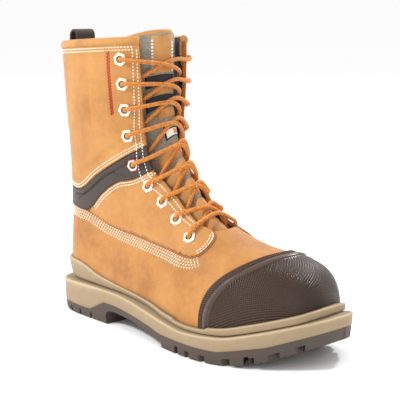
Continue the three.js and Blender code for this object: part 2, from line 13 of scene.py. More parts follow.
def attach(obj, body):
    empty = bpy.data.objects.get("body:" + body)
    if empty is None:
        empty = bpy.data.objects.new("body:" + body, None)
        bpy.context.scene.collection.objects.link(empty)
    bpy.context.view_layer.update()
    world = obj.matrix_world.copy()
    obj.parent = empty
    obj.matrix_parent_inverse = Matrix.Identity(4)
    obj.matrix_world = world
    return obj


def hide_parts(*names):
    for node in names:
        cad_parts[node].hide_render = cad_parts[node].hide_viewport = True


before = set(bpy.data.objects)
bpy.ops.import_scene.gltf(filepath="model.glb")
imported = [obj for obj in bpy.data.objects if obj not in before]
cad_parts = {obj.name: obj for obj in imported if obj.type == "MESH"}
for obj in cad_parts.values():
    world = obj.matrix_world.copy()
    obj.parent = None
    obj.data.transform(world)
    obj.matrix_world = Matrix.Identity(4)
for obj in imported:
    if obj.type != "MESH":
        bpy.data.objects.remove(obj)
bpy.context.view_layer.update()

MM = 0.001
ORIGIN = np.array([152.655, 3.828, 0.0])  # origin of the shared frame, in the boot's own frame

# Driving sizes, as in the CAD part
SOLE_LENGTH = 307
BALL_WIDTH = 118
INSTEP_HEIGHT = 150
COLLAR_HEIGHT = 251
SHAFT_DEPTH = 130
SHAFT_WIDTH = 92
LEATHER = 2.2
QUARTER_STEP = 1.2
CAP_FIELD = 2.4
BINDING = 1.5
BAND = 1.3
COLLAR_BAND = 5.6
TONGUE_THICKNESS = 6.5
EYELET_RADIUS = 6.1
EYELET_BORE = 2.7
LACE_RADIUS = 1.95
LOOP_WIDTH = 22
LOOP_THICKNESS = 1.8
LOOP_RISE = 12

# Sections of the last, as in the CAD part: bottomX, bottomZ, topX, topZ, centre, both half widths,
# level of the widest place, roundness below it, roundness above it
FOOT_ROWS = [
    [0.958, 0.247, 0.958, 0.313, 0.153, 0.051, 0.051, 0.50, 2.0, 2.0],
    [0.951, 0.187, 0.951, 0.380, 0.153, 0.127, 0.119, 0.45, 3.0, 2.2],
    [0.935, 0.133, 0.938, 0.453, 0.144, 0.220, 0.203, 0.42, 3.0, 2.3],
    [0.902, 0.087, 0.909, 0.507, 0.127, 0.297, 0.288, 0.40, 3.0, 2.4],
    [0.860, 0.053, 0.870, 0.540, 0.102, 0.356, 0.347, 0.38, 3.0, 2.4],
    [0.805, 0.033, 0.814, 0.567, 0.076, 0.407, 0.390, 0.36, 3.0, 2.4],
    [0.736, 0.027, 0.749, 0.593, 0.042, 0.432, 0.407, 0.35, 3.0, 2.2],
    [0.651, 0.027, 0.678, 0.647, 0.017, 0.415, 0.390, 0.33, 3.0, 2.0],
    [0.557, 0.047, 0.619, 0.720, 0.000, 0.390, 0.335, 0.31, 2.5, 1.9],
    [0.456, 0.067, 0.573, 0.813, 0.000, 0.347, 0.300, 0.30, 2.3, 1.8],
    [0.345, 0.080, 0.531, 0.913, 0.000, 0.331, 0.300, 0.29, 2.3, 1.8],
    [0.221, 0.087, 0.498, 1.000, 0.000, 0.322, 0.312, 0.29, 2.6, 1.8],
    [0.098, 0.093, 0.476, 1.087, 0.000, 0.314, 0.314, 0.30, 2.8, 1.8],
]
SHAFT_ROWS = [
    [0.077, 0.135, 1.085, 0.697, 0, 0.402, 0.402, 0.34, 2.5, 1.9],
    [0.054, 0.247, 1.054, 0.745, 0, 0.413, 0.413, 0.38, 2.2, 2.0],
    [0.069, 0.378, 1.031, 0.793, 0, 0.424, 0.424, 0.42, 2.1, 2.0],
    [0.069, 0.510, 1.015, 0.837, 0, 0.446, 0.446, 0.45, 2.1, 2.1],
    [0.062, 0.637, 1.008, 0.884, 0, 0.467, 0.467, 0.47, 2.1, 2.1],
    [0.046, 0.769, 1.000, 0.936, 0, 0.489, 0.489, 0.48, 2.1, 2.1],
    [0.031, 0.892, 1.000, 0.984, 0, 0.500, 0.500, 0.48, 2.1, 2.1],
    [0.015, 1.000, 1.000, 1.028, 0, 0.500, 0.500, 0.48, 2.1, 2.1],
    [0.008, 1.100, 1.000, 1.128, 0, 0.500, 0.500, 0.48, 2.1, 2.1],
]
# Outline of the sole: x share, outer and inner y share
OUTLINE_ROWS = [
    [0.000, 0.075, 0.075], [0.008, 0.150, 0.145], [0.035, 0.262, 0.260], [0.085, 0.330, 0.335],
    [0.150, 0.355, 0.365], [0.230, 0.362, 0.355], [0.320, 0.370, 0.325], [0.410, 0.388, 0.302],
    [0.500, 0.425, 0.322], [0.590, 0.458, 0.390], [0.670, 0.475, 0.467], [0.740, 0.462, 0.515],
    [0.810, 0.405, 0.538], [0.875, 0.318, 0.530], [0.930, 0.205, 0.487], [0.970, 0.078, 0.410],
    [0.993, -0.045, 0.305], [1.000, -0.100, 0.250],
]
# Heights along the sole: x share, z
TREAD_LINE = [[0, 1.5], [0.03, 0], [0.78, 0], [0.84, 2.2], [0.9, 7], [1, 20]]
COLOUR_LINE = [
    [0, 9.5], [0.205, 9.5], [0.275, 20], [0.33, 20], [0.5, 15], [0.56, 12], [0.78, 11.5], [0.9, 19.5],
    [1, 31],
]
SIDE_LINE = [
    [0, 29], [0.1, 31], [0.2, 32], [0.35, 31.5], [0.5, 26.5], [0.65, 21], [0.8, 23.5], [0.9, 32], [1, 41],
]
RIM_LINE = [
    [-0.05, 51], [0.06, 50.5], [0.12, 51], [0.17, 49], [0.24, 42], [0.35, 37], [0.5, 31.5], [0.65, 26.5],
    [0.7, 27], [0.8, 30.5], [0.9, 39], [1, 48], [1.05, 51],
]
RIM_THICKNESS = [[0, 3.2], [0.4, 3.2], [0.6, 5], [0.75, 6], [1, 6.6]]
ARCH = [
    [0.285, -2], [0.282, 8], [0.29, 12.5], [0.32, 14], [0.4, 12.5], [0.48, 9.8], [0.53, 6.5], [0.555, -2],
]
# Side views: x in sole lengths, z in collar heights
SEAM = [
    [-0.08, 0.416], [0.1, 0.408], [0.19, 0.398], [0.29, 0.36], [0.41, 0.343], [0.525, 0.325], [0.62, 0.313],
    [0.652, 0.323], [0.667, 0.348], [0.662, 0.376], [0.635, 0.401],
]
# Edges of the ankle band on the outer side and on the arch side, from the heel forwards
BAND_TOP = {
    -1: [
        [-0.06, 0.492], [0.09, 0.478], [0.165, 0.478], [0.24, 0.54], [0.32, 0.6], [0.385, 0.645],
        [0.46, 0.69],
    ],
    1: [
        [-0.06, 0.492], [0.05, 0.481], [0.12, 0.479], [0.2, 0.497], [0.3, 0.55], [0.4, 0.615],
        [0.48, 0.665],
    ],
}
BAND_LOW = {
    -1: [
        [-0.06, 0.425], [0.1, 0.413], [0.19, 0.405], [0.255, 0.475], [0.31, 0.52], [0.36, 0.535],
        [0.41, 0.565], [0.5, 0.62],
    ],
    1: [
        [-0.06, 0.425], [0.05, 0.418], [0.12, 0.427], [0.2, 0.456], [0.305, 0.512], [0.405, 0.575],
        [0.5, 0.63],
    ],
}
BAND_GROOVE = [
    [0.13, 0.455], [0.19, 0.468], [0.25, 0.52], [0.33, 0.58], [0.375, 0.61], [0.392, 0.585], [0.405, 0.567],
]
BAND_STEP = [[0.15, 0.44], [0.22, 0.498], [0.27, 0.543], [0.3, 0.552], [0.33, 0.545], [0.36, 0.536]]
CAP_EDGE = [
    [0.716, 0.04], [0.718, 0.163], [0.731, 0.2], [0.753, 0.247], [0.792, 0.29], [0.826, 0.32], [0.84, 0.35],
    [0.85, 0.45],
]
# Throat: row of the last, half width in ball widths
THROAT = [
    [7.3, 0.03], [7.45, 0.1], [7.75, 0.145], [8.2, 0.155], [9, 0.153], [10, 0.153], [11, 0.157], [12, 0.168],
    [13, 0.178], [14, 0.187], [15, 0.195], [16, 0.203], [17, 0.21], [18, 0.216], [19, 0.22], [20, 0.225],
    [21, 0.225],
]
# Eyelets from the top down: row of the last, angle from its front line in degrees
EYELETS = [
    [18.75, 52], [17.45, 52], [16.1, 52], [14.75, 51], [13.2, 48], [11.65, 42], [10.4, 40.5], [9.3, 40],
    [8.15, 39],
]
RED_EYELET = 4
STRIPE_X = 95.6  # middle of the red stitched stripe
# The bare pressed rectangle on the shaft's outer side: x from, x to, z from, z to
STAMP = (34, 73, 178, 220)
# Soft creases and dents of the leather: x, z, half length, half width, turn in degrees, depth
CREASES = [
    [62, 140, 26, 3.5, 24, 0.9], [48, 152, 22, 3.0, 18, 0.6], [90, 158, 20, 3.2, 34, 0.7],
    [36, 168, 16, 4.0, -8, 0.5], [100, 118, 22, 3.2, -28, 0.8], [122, 104, 20, 3.0, -34, 0.7],
    [84, 108, 16, 3.4, -12, 0.5], [150, 98, 14, 3.0, -40, 0.5], [60, 236, 24, 7.0, 4, 0.5],
    [30, 205, 8, 16.0, 0, 0.5],
]
# The tread is a little deeper than in the CAD part, and starts at this x
LUG_DEPTH = 6
TREAD_START = 163
# Straight grooves of the sole: length, width, x share, y share, turn in degrees
GROOVES = [[150, 4.6, 0.736, 0.068, -53], [150, 4.6, 0.736, 0.068, 64], [40, 5, 0.15, 0, 0]]
LONG_GROOVE = 100  # a groove longer than this is cut deeper
LONG_GROOVE_EXTRA = 1.3
# Grooves from the heel's edge, the same on both sides: x share, y share, turn in degrees
HEEL_GROOVES = [[0.055, 0.3, 62], [0.1, 0.34, 82], [0.152, 0.37, 90], [0.207, 0.37, 92]]
for way in (-1, 1):
    GROOVES += [[18, 3.5, x, way * y, -way * turn] for x, y, turn in HEEL_GROOVES]
# Tread blocks along the sole's edges, for each side: x at the edge, width, length inwards, turn in degrees
EDGE_LUGS = {
    -1: [[183, 19, 30, 80], [201, 8, 30, 66], [216, 10, 32, 68], [235, 13, 34, 74], [255, 10, 17, 78],
         [272, 8.5, 27, 88], [288, 9, 22, 98]],
    1: [[187, 15, 38, 74], [206, 10, 17, 70], [223, 12, 32, 72], [239, 11, 27, 75], [258, 12, 36, 71],
        [272, 10, 34, 74]],
}
# Tread blocks inside: x, y, length, width, turn in degrees
INNER_LUGS = [
    [201, 32, 13, 9, 128], [193, 15, 18, 10, 75], [205, 13, 23, 9, 94], [216, 11, 13, 8, 128],
    [224, 27, 14, 12, 80], [183, -5, 28, 12, 80], [198, -13, 30, 12, 96], [211, -5, 18, 8, 62],
    [219, -18, 21, 11, 58], [232, -12, 24, 13, 122], [242, 10, 33, 17, 103], [261, 9, 38, 16, 98],
    [275, 20, 10, 8, 30], [277, 0, 17, 11, 80], [256, -18, 19, 12, 126],
]
# Tread blocks under the toe and the plate in the arch, as outlines: x, y
TOE_PLATES = [
    [[274, 34], [280, 56], [284, 74], [307, 74], [297, 51], [286, 27], [279, 25]],
    [[288, 10], [303, 43], [312, 62], [332, 30], [332, -22], [306, -26], [298, -10], [287, 2]],
]
ARCH_PLATE = [[96, 9], [150, 11], [161, -8], [151, -23], [96, -23]]
# One half of a leaf-shaped block and of the fine slit in it: shares of the block's length and width
LEAF = [[-0.5, -0.14], [-0.27, -0.45], [-0.05, -0.5], [0.24, -0.45], [0.5, -0.14]]
LEAF_SLIT = [[-0.28, 0.04], [-0.2, 0.2], [0.1, 0.2], [0.2, 0.04]]

PI = math.pi
SIDES = (-1, 1)  # outer side, arch side
SIDE_WORD = {-1: "outer", 1: "inner"}
NODE_WORD = {-1: "lateral", 1: "medial"}


# Curves and tables
def line_at(line, x):
    table = np.array(line, float)
    return np.interp(x, table[:, 0], table[:, 1])


def smooth_rows(rows, u):
    """Rows of a table at u, which counts rows and may be an array, on a Catmull-Rom curve."""
    rows = np.asarray(rows, float)
    u = np.asarray(u, float)
    last = len(rows) - 1
    i = np.clip(np.floor(u).astype(int), 0, last - 1)
    t = (u - i)[..., None]
    b, c = rows[i], rows[i + 1]
    a = np.where((i > 0)[..., None], rows[np.maximum(i - 1, 0)], 2 * b - c)
    d = np.where((i < last - 1)[..., None], rows[np.minimum(i + 2, last)], 2 * c - b)
    square = 2 * a - 5 * b + 4 * c - d
    cube = 3 * b - a - 3 * c + d
    return 0.5 * (2 * b + (c - a) * t + square * t**2 + cube * t**3)


def sized(rows, x, z, y):
    """Rows of the last in millimetres; their last three columns stay shares and powers."""
    return np.array(rows) * np.array([x, z, x, z, y, y, y, 1, 1, 1])


ROWS = np.vstack([
    sized(FOOT_ROWS, SOLE_LENGTH, INSTEP_HEIGHT, BALL_WIDTH),
    sized(SHAFT_ROWS, SHAFT_DEPTH, COLLAR_HEIGHT, SHAFT_WIDTH),
])
LAST_ROW = len(ROWS) - 1


def unit(v):
    return v / np.maximum(np.linalg.norm(v, axis=-1, keepdims=True), 1e-9)


def step_between(x, low, high):
    t = np.clip((x - low) / (high - low), 0, 1)
    return t * t * (3 - 2 * t)


def resampled(points, step, closed=False):
    """Points of a polyline at even steps."""
    points = np.asarray(points, float)
    if closed:
        points = np.vstack([points, points[:1]])
    length = np.concatenate([[0], np.cumsum(np.linalg.norm(np.diff(points, axis=0), axis=1))])
    count = max(int(round(length[-1] / step)), 2)
    at = np.linspace(0, length[-1], count + 1)
    if closed:
        at = at[:-1]
    return np.stack([np.interp(at, length, points[:, k]) for k in range(points.shape[1])], -1)


def curve_through(points, step):
    """A smooth line through given points, at even steps."""
    points = np.asarray(points, float)
    fine = smooth_rows(points, np.linspace(0, len(points) - 1, 24 * len(points)))
    return resampled(fine, step)


def view_line(shares, step):
    """A smooth line through places of a side view, in millimetres."""
    return curve_through(np.array(shares) * [SOLE_LENGTH, COLLAR_HEIGHT], step)


def softened(points, times, closed=False):
    points = np.array(points, float)
    for _ in range(times):
        if closed:
            points = (np.roll(points, 1, 0) + 2 * points + np.roll(points, -1, 0)) / 4
        else:
            points[1:-1] = (points[:-2] + 2 * points[1:-1] + points[2:]) / 4
    return points


# The last: u counts its rows from the toe up to the shaft.
# The angle starts on the front line and goes round by the arch side.
def last_point(u, angle):
    u, angle = np.broadcast_arrays(np.asarray(u, float), np.asarray(angle, float))
    row = smooth_rows(ROWS, u)
    bottom_x, bottom_z, top_x, top_z, centre, outer, inner, widest, low, high = np.moveaxis(row, -1, 0)
    cos, sin = np.cos(angle), np.sin(angle)
    power = 2 / np.where(cos >= 0, high, low)
    y = centre + np.sign(sin) * np.where(sin > 0, inner, outer) * np.abs(sin) ** power
    rise = np.abs(cos) ** power
    t = np.where(cos >= 0, widest + (1 - widest) * rise, widest - widest * rise)
    return np.stack([bottom_x + (top_x - bottom_x) * t, y, bottom_z + (top_z - bottom_z) * t], -1)


def last_slopes(u, angle, step=0.02):
    u, angle = np.broadcast_arrays(np.asarray(u, float), np.asarray(angle, float))
    around = (last_point(u, angle + step) - last_point(u, angle - step)) / (2 * step)
    above, below = np.minimum(u + step, LAST_ROW), np.maximum(u - step, 0)
    along = (last_point(above, angle) - last_point(below, angle)) / (above - below)[..., None]
    return around, along


def last_normal(u, angle):
    return unit(np.cross(*last_slopes(u, angle)))


def lifted(u, angle, height):
    return last_point(u, angle) + last_normal(u, angle) * np.asarray(height, float)[..., None]


def line_point(line):
    """Points of a line of rows and angles."""
    return last_point(line[:, 0], line[:, 1])


def line_lifted(line, height):
    return lifted(line[:, 0], line[:, 1], height)


def ahead_of(line, share):
    """The part of a line on the last that lies ahead of a share of the sole's length."""
    return line[line_point(line)[:, 0] > share * SOLE_LENGTH]


def on_side(angle, side):
    return angle if side > 0 else 2 * PI - angle


def from_front(angle):
    """Angle from the front line, the same on both sides."""
    return np.minimum(angle, 2 * PI - angle)


def throat_angle(u, side, past=0.0):
    """Angle of the throat's edge on one side, past moves it onto the flap."""
    row = smooth_rows(ROWS, u)
    centre, outer, inner, high = row[..., 4], row[..., 5], row[..., 6], row[..., 9]
    reach = line_at(THROAT, u) * BALL_WIDTH + past
    half = inner if side > 0 else outer
    sin = np.clip((reach - side * centre) / half, 0, 1) ** (high / 2)
    return np.where(np.asarray(u) < THROAT[0][0], 0, np.arcsin(sin))


def collar_row(angle, drop):
    """Row of the last at a distance below the collar's top, for each angle."""
    angle = np.asarray(angle, float)
    low, high = np.full(angle.shape, 15.0), np.full(angle.shape, 21.0)
    slope = 0.056
    for _ in range(30):
        middle = (low + high) / 2
        point = last_point(middle, angle)
        over = point[..., 2] - (COLLAR_HEIGHT - drop + slope * point[..., 0]) > 0
        high = np.where(over, middle, high)
        low = np.where(over, low, middle)
    return low


def onto(points, side):
    """Rows and angles of the places of a side view on one side of the last."""
    points = np.asarray(points, float)
    u = np.linspace(0, LAST_ROW, 1261)
    row = smooth_rows(ROWS, u)
    bottom, way = row[:, 0:2], row[:, 2:4] - row[:, 0:2]
    gap = points[:, None, :] - bottom
    cross = way[:, 0] * gap[..., 1] - way[:, 1] * gap[..., 0]
    j = np.clip(np.argmax(cross < 0, axis=1), 1, None)
    n = np.arange(len(points))
    before, after = cross[n, j - 1], cross[n, j]
    found = u[j - 1] + (u[1] - u[0]) * before / (before - after)
    row = smooth_rows(ROWS, found)
    way = row[:, 2:4] - row[:, 0:2]
    t = np.sum((points - row[:, 0:2]) * way, 1) / np.sum(way * way, 1)
    t = np.clip(t, 0, 1)
    widest, low, high = row[:, 7], row[:, 8], row[:, 9]
    above = np.clip((t - widest) / (1 - widest), 0, 1) ** (high / 2)
    below = np.clip((widest - t) / widest, 0, 1) ** (low / 2)
    angle = np.arccos(np.where(t >= widest, above, -below))
    return np.stack([found, on_side(angle, side)], -1)


def side_line(shares, side, step=1.5):
    """A line drawn on a side view, laid on the last and ended at the throat and at the back."""
    place = onto(view_line(shares, step), side)
    front = from_front(place[:, 1])
    keep = (front > throat_angle(place[:, 0], side) + 0.004) & (front < PI - 0.02)
    place = place[keep]
    if not keep[0]:
        place = np.vstack([[place[0, 0], PI], place])
    if not keep[-1] and front[-1] < 1:
        edge = throat_angle(place[-1, 0], side)
        place = np.vstack([place, [place[-1, 0], on_side(edge, side)]])
    return place


def throat_line(u_from, u_to, side, past=0.0, count=90):
    u = np.linspace(u_from, u_to, count)
    return np.stack([u, on_side(throat_angle(u, side, past), side)], -1)


COLLAR_ROW = 19.6  # row of the last where the throat meets the collar


def collar_angles(past, count):
    """Angles from the arch side's throat edge round the back to the outer one."""
    return np.linspace(
        throat_angle(COLLAR_ROW, 1, past), 2 * PI - throat_angle(COLLAR_ROW, -1, past), count)


def collar_line(drop, count=220, past=0.0):
    angle = collar_angles(past, count)
    return np.stack([collar_row(angle, drop), angle], -1)


def shifted(line, distance, closed=False):
    """A line on the last moved to its left, seen from outside with the toe row low."""
    u, angle = line[:, 0], line[:, 1]
    point = last_point(u, angle)
    if closed:
        way = np.roll(point, -1, 0) - np.roll(point, 1, 0)
    else:
        way = np.gradient(point, axis=0)
    around, along = last_slopes(u, angle)
    normal = unit(np.cross(around, along))
    left = unit(np.cross(normal, unit(way))) * np.asarray(distance, float).reshape(-1, 1)
    e, f, g = np.sum(around**2, 1), np.sum(around * along, 1), np.sum(along**2, 1)
    a, b = np.sum(left * around, 1), np.sum(left * along, 1)
    det = e * g - f * f
    return np.stack([u + (e * b - f * a) / det, angle + (g * a - f * b) / det], -1)


def over(line, side, distance):
    """A line that runs from back to front, moved up the boot's side."""
    return shifted(line, -distance * side)


def under(line, side, distance):
    return shifted(line, distance * side)


# Meshes
def add_object(name, data):
    obj = bpy.data.objects.new(name, data)
    bpy.context.scene.collection.objects.link(obj)
    return obj


def bare_mesh(name, points, faces):
    mesh = bpy.data.meshes.new(name)
    points = (np.asarray(points, float) - ORIGIN) * MM
    mesh.from_pydata(points.tolist(), [], [[int(i) for i in face] for face in faces])
    return add_object(name, mesh)


def add_mesh(name, points, faces, material, uv=None):
    obj = bare_mesh(name, points, faces)
    mesh = obj.data
    mesh.validate()
    mesh.shade_smooth()
    mesh.materials.append(material)
    if uv is not None:
        layer = mesh.uv_layers.new(name="Surface")
        index = np.empty(len(mesh.loops), int)
        mesh.loops.foreach_get("vertex_index", index)
        layer.data.foreach_set("uv", np.asarray(uv, np.float32)[index].ravel())
    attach(obj, "root")
    return obj


def paint_faces(obj, materials, index):
    """More materials for a mesh, and for each face the number of the one it wears."""
    for material in materials:
        obj.data.materials.append(material)
    obj.data.polygons.foreach_set("material_index", np.asarray(index, int))


def grid_faces(rows, columns, wrap=False):
    """Quads of a grid that face outwards when rows climb the last and columns go round it."""
    i, j = np.meshgrid(np.arange(rows - 1), np.arange(columns if wrap else columns - 1), indexing="ij")
    after = (j + 1) % columns
    corners = [i * columns + j, i * columns + after, (i + 1) * columns + after, (i + 1) * columns + j]
    return np.stack(corners, -1).reshape(-1, 4)


def add_grid(name, points, material, wrap=False, uv=None, flip=False):
    rows, columns = points.shape[:2]
    faces = grid_faces(rows, columns, wrap)
    if flip:
        faces = faces[:, ::-1]
    coords = None if uv is None else uv.reshape(-1, 2)
    return add_mesh(name, points.reshape(-1, 3), faces, material, coords)


def is_inside(points, loop):
    x, y = points[:, 0:1], points[:, 1:2]
    x0, y0 = loop[:, 0], loop[:, 1]
    x1, y1 = np.roll(x0, -1), np.roll(y0, -1)
    crosses = (y0 > y) != (y1 > y)
    at = x0 + (y - y0) / np.where(y1 == y0, 1e-9, y1 - y0) * (x1 - x0)
    return np.sum(crosses & (x < at), axis=1) % 2 == 1


# Rounding of a cut leather edge: inset, share of the height
EDGE = ((0.0, -0.4), (0.0, 0.5), (0.12, 0.82), (0.45, 1.0))
FLAT_SCALE = np.array([21.0, 42.0])  # about the millimetres of one row and of one radian


def one_way_round(outline):
    """A closed outline that goes round the same way for every panel."""
    loop = np.asarray(outline, float)
    area = np.sum(loop[:, 1] * np.roll(loop[:, 0], -1) - np.roll(loop[:, 1], -1) * loop[:, 0])
    return loop[::-1] if area < 0 else loop


def fill_points(border, spacing):
    """Points of a square grid inside a border, kept clear of it."""
    low, high = border.min(0), border.max(0)
    grid = np.meshgrid(*(np.arange(low[k], high[k], spacing) for k in (0, 1)), indexing="ij")
    inner = np.stack([axis.ravel() for axis in grid], -1)
    inner = inner[is_inside(inner, border)]
    gap = []
    for part in np.array_split(inner, 40):
        gap.append(np.min(np.linalg.norm(part[:, None] - border, axis=2), axis=1))
    return inner[np.concatenate(gap) > spacing * 0.6]


def add_panel(name, outline, height, material, relief, spacing=1.5, edge_material=None):
    """A leather panel on the last, inside a closed outline of rows and angles, with rounded edges."""
    loop = one_way_round(outline)
    n = len(loop)
    rings = [shifted(loop, inset, closed=True) for inset, _ in EDGE]
    points = [line_lifted(ring, height * share) for ring, (_, share) in zip(rings[:-1], EDGE)]
    ring = softened(rings[-1], 1, closed=True)
    border = ring * FLAT_SCALE
    flat = np.vstack([border, fill_points(border, spacing)])
    found = delaunay_2d_cdt([Vector(p) for p in flat], [], [list(range(n))], 1, 1e-6)
    verts, faces, source = found[0], found[2], found[3]
    where = np.array([list(v) for v in verts]) / FLAT_SCALE
    for line in (ring, where):
        points.append(line_lifted(line, height + relief(line_point(line), line)))
    start = (len(EDGE) - 1) * n
    index = [start + s[0] if s and s[0] < n else start + n + k for k, s in enumerate(source)]
    triangles = [[index[i] for i in face] for face in faces]
    quads = grid_faces(len(EDGE), n, wrap=True)
    obj = add_mesh(name, np.vstack(points), [*quads.tolist(), *triangles], material)
    if edge_material is not None:
        paint_faces(obj, [edge_material], np.arange(len(obj.data.polygons)) < start)
    return obj


def tube_points(path, radius, sides, squash=1.0):
    """Rings round a path, kept from twisting."""
    path = np.asarray(path, float)
    way = unit(np.gradient(path, axis=0))
    across = np.cross(way[0], [0, 0, 1.0])
    rings = []
    turn = np.linspace(0, 2 * PI, sides, endpoint=False)
    for point, along in zip(path, way):
        across = unit(across - along * np.dot(across, along))
        up = np.cross(across, along)
        ring = np.outer(np.cos(turn) * radius, across) + np.outer(np.sin(turn) * radius * squash, up)
        rings.append(point + ring)
    return np.array(rings)


def stitch_mesh(start, end, out, radius, base):
    """One thread stitch: a short bowed capsule that dives in at both ends."""
    shares = np.array([0.0, 0.12, 0.5, 0.88, 1.0])
    rise = np.array([-0.8, 0.25, 0.6, 0.25, -0.8]) * radius
    girth = np.array([0.45, 0.9, 1.0, 0.9, 0.45]) * radius
    path = start + np.outer(shares, end - start) + np.outer(rise, out)
    way = unit(end - start)
    side = np.cross(way, out)
    turn = np.linspace(0, 2 * PI, 6, endpoint=False)
    ring = np.outer(np.cos(turn), side) + np.outer(np.sin(turn), out)
    points = (path[:, None] + girth[:, None, None] * ring[None]).reshape(-1, 3)
    faces = (grid_faces(5, 6, wrap=True) + base).tolist()
    return points, faces


class Stitches:
    """Rows of stitches gathered into one mesh."""

    def __init__(self):
        self.points = []
        self.faces = []
        self.count = 0

    def add(self, start, end, out, radius):
        points, faces = stitch_mesh(start, end, out, radius, self.count)
        self.points.append(points)
        self.faces += faces
        self.count += len(points)

    def row(self, line, height, pitch=3.1, length=2.4, radius=0.42, slant=0.0, phase=0.0):
        """Stitches along a line of rows and angles, slanted in the leather's plane."""
        fine = resampled(np.hstack([line_point(line), line]), pitch / 8)
        u, angle = fine[:, 3], fine[:, 4]
        point = lifted(u, angle, height)
        out = last_normal(u, angle)
        way = unit(np.gradient(point, axis=0))
        for k in range(int(4 + 8 * phase), len(point) - 4, 8):
            slanted = unit(way[k] * math.cos(slant) + np.cross(out[k], way[k]) * math.sin(slant))
            half = slanted * length / 2
            self.add(point[k] - half, point[k] + half, out[k], radius)

    def finish(self, name, material, slot):
        return add_mesh(name, np.vstack(self.points), self.faces, material)


# Materials
def srgb(text):
    values = [int(text[i:i + 2], 16) / 255 for i in (1, 3, 5)]
    return [*(v / 12.92 if v <= 0.04045 else ((v + 0.055) / 1.055) ** 2.4 for v in values), 1.0]


class Finish:
    """A material built from a few procedural nodes; coordinates are millimetres."""

    def __init__(self, name, colour, roughness, sheen=0.0, coat=0.0, specular=0.5):
        self.material = bpy.data.materials.new(name)
        self.material.use_nodes = True
        self.material.diffuse_color = srgb(colour)
        self.tree = self.material.node_tree
        self.shader = self.tree.nodes["Principled BSDF"]
        self.height = None
        values = {"Base Color": srgb(colour), "Roughness": roughness, "Sheen Weight": sheen}
        values.update({"Coat Weight": coat, "Specular IOR Level": specular})
        self.fill(self.shader, values)

    def fill(self, node, values):
        for name, value in values.items():
            node.inputs[name].default_value = value

    def node(self, kind, values=None):
        node = self.tree.nodes.new("ShaderNode" + kind)
        self.fill(node, values or {})
        return node

    def join(self, source, target):
        self.tree.links.new(source, target)

    def feed(self, sockets, sources):
        """Give each socket a number, a colour written as text, or the output of another node."""
        for socket, source in zip(sockets, sources):
            if isinstance(source, str):
                socket.default_value = srgb(source)
            elif isinstance(source, (int, float)):
                socket.default_value = source
            else:
                self.join(source, socket)

    def place(self, kind="Object", stretch=(1, 1, 1)):
        coords = self.node("TexCoord")
        size = 1000 if kind == "Object" else 1  # the mesh is in metres, its own map in millimetres
        scale = self.node("Mapping", {"Scale": [s * size for s in stretch]})
        self.join(coords.outputs[kind], scale.inputs["Vector"])
        return scale.outputs["Vector"]

    def axis(self, name):
        """One axis of the mesh's own map."""
        split = self.node("SeparateXYZ")
        self.join(self.place("UV"), split.inputs["Vector"])
        return split.outputs[name]

    def noise(self, size, detail=3.0, place=None, rough=0.55):
        node = self.node("TexNoise", {"Scale": 1 / size, "Detail": detail, "Roughness": rough})
        self.join(place if place is not None else self.place(), node.inputs["Vector"])
        return node.outputs["Fac"]

    def wave(self, size, place, turn=0.0, bands="X"):
        scale = self.node("Mapping", {"Rotation": (0, 0, turn)})
        self.join(place, scale.inputs["Vector"])
        node = self.node("TexWave", {"Scale": PI / 10 / size})
        node.bands_direction = bands
        self.join(scale.outputs["Vector"], node.inputs["Vector"])
        return node.outputs["Fac"]

    def crossed(self, size, place):
        """Two sets of slanted waves, one on the other."""
        return self.times(self.wave(size, place, PI / 4), self.wave(size, place, -PI / 4))

    def times(self, a, b):
        node = self.node("Math")
        node.operation = "MULTIPLY"
        self.feed(node.inputs, (a, b))
        return node.outputs[0]

    def ramp(self, source, stops):
        node = self.node("ValToRGB")
        while len(node.color_ramp.elements) < len(stops):
            node.color_ramp.elements.new(0.5)
        for element, (at, colour) in zip(node.color_ramp.elements, stops):
            element.position = at
            element.color = srgb(colour) if isinstance(colour, str) else (colour, colour, colour, 1)
        self.join(source, node.inputs["Fac"])
        return node.outputs["Color"]

    def mix(self, factor, a, b, kind="MIX"):
        node = self.node("Mix")
        node.data_type = "RGBA"
        node.blend_type = kind
        self.feed([s for s in node.inputs if s.enabled], (factor, a, b))
        return [s for s in node.outputs if s.enabled][0]

    def colour(self, source, shade=None):
        """The base colour, darkened by a shade if one is given."""
        if shade is not None:
            source = self.mix(1.0, source, shade, "MULTIPLY")
        self.join(source, self.shader.inputs["Base Color"])

    def rough(self, source):
        self.join(source, self.shader.inputs["Roughness"])

    def bump(self, source, depth):
        """Depth is the height of the relief in millimetres."""
        node = self.node("Bump", {"Distance": depth * MM, "Strength": 1.0})
        self.join(source, node.inputs["Height"])
        if self.height is not None:
            self.join(self.height, node.inputs["Normal"])
        self.height = node.outputs["Normal"]
        self.join(self.height, self.shader.inputs["Normal"])


def nubuck(name, light, middle, dark):
    finish = Finish(name, middle, 0.75, sheen=0.1, specular=0.4)
    cloud = finish.mix(0.3, finish.noise(42, 6.0, rough=0.62), finish.noise(6.0, 5.0, rough=0.7))
    tone = finish.ramp(cloud, [(0.34, dark), (0.5, middle), (0.66, light)])
    finish.colour(tone, finish.ramp(finish.noise(1.3, 5.0, rough=0.7), [(0.3, 0.9), (0.66, 1.0)]))
    finish.bump(finish.noise(0.9, 5.0), 0.1)
    finish.bump(finish.noise(14.0, 2.0), 0.35)
    finish.rough(finish.ramp(cloud, [(0.35, 0.62), (0.65, 0.8)]))
    return finish.material


def plain(name, colour, roughness, grain=0.6, depth=0.06, **extra):
    finish = Finish(name, colour, roughness, **extra)
    finish.bump(finish.noise(grain, 3.0), depth)
    return finish.material


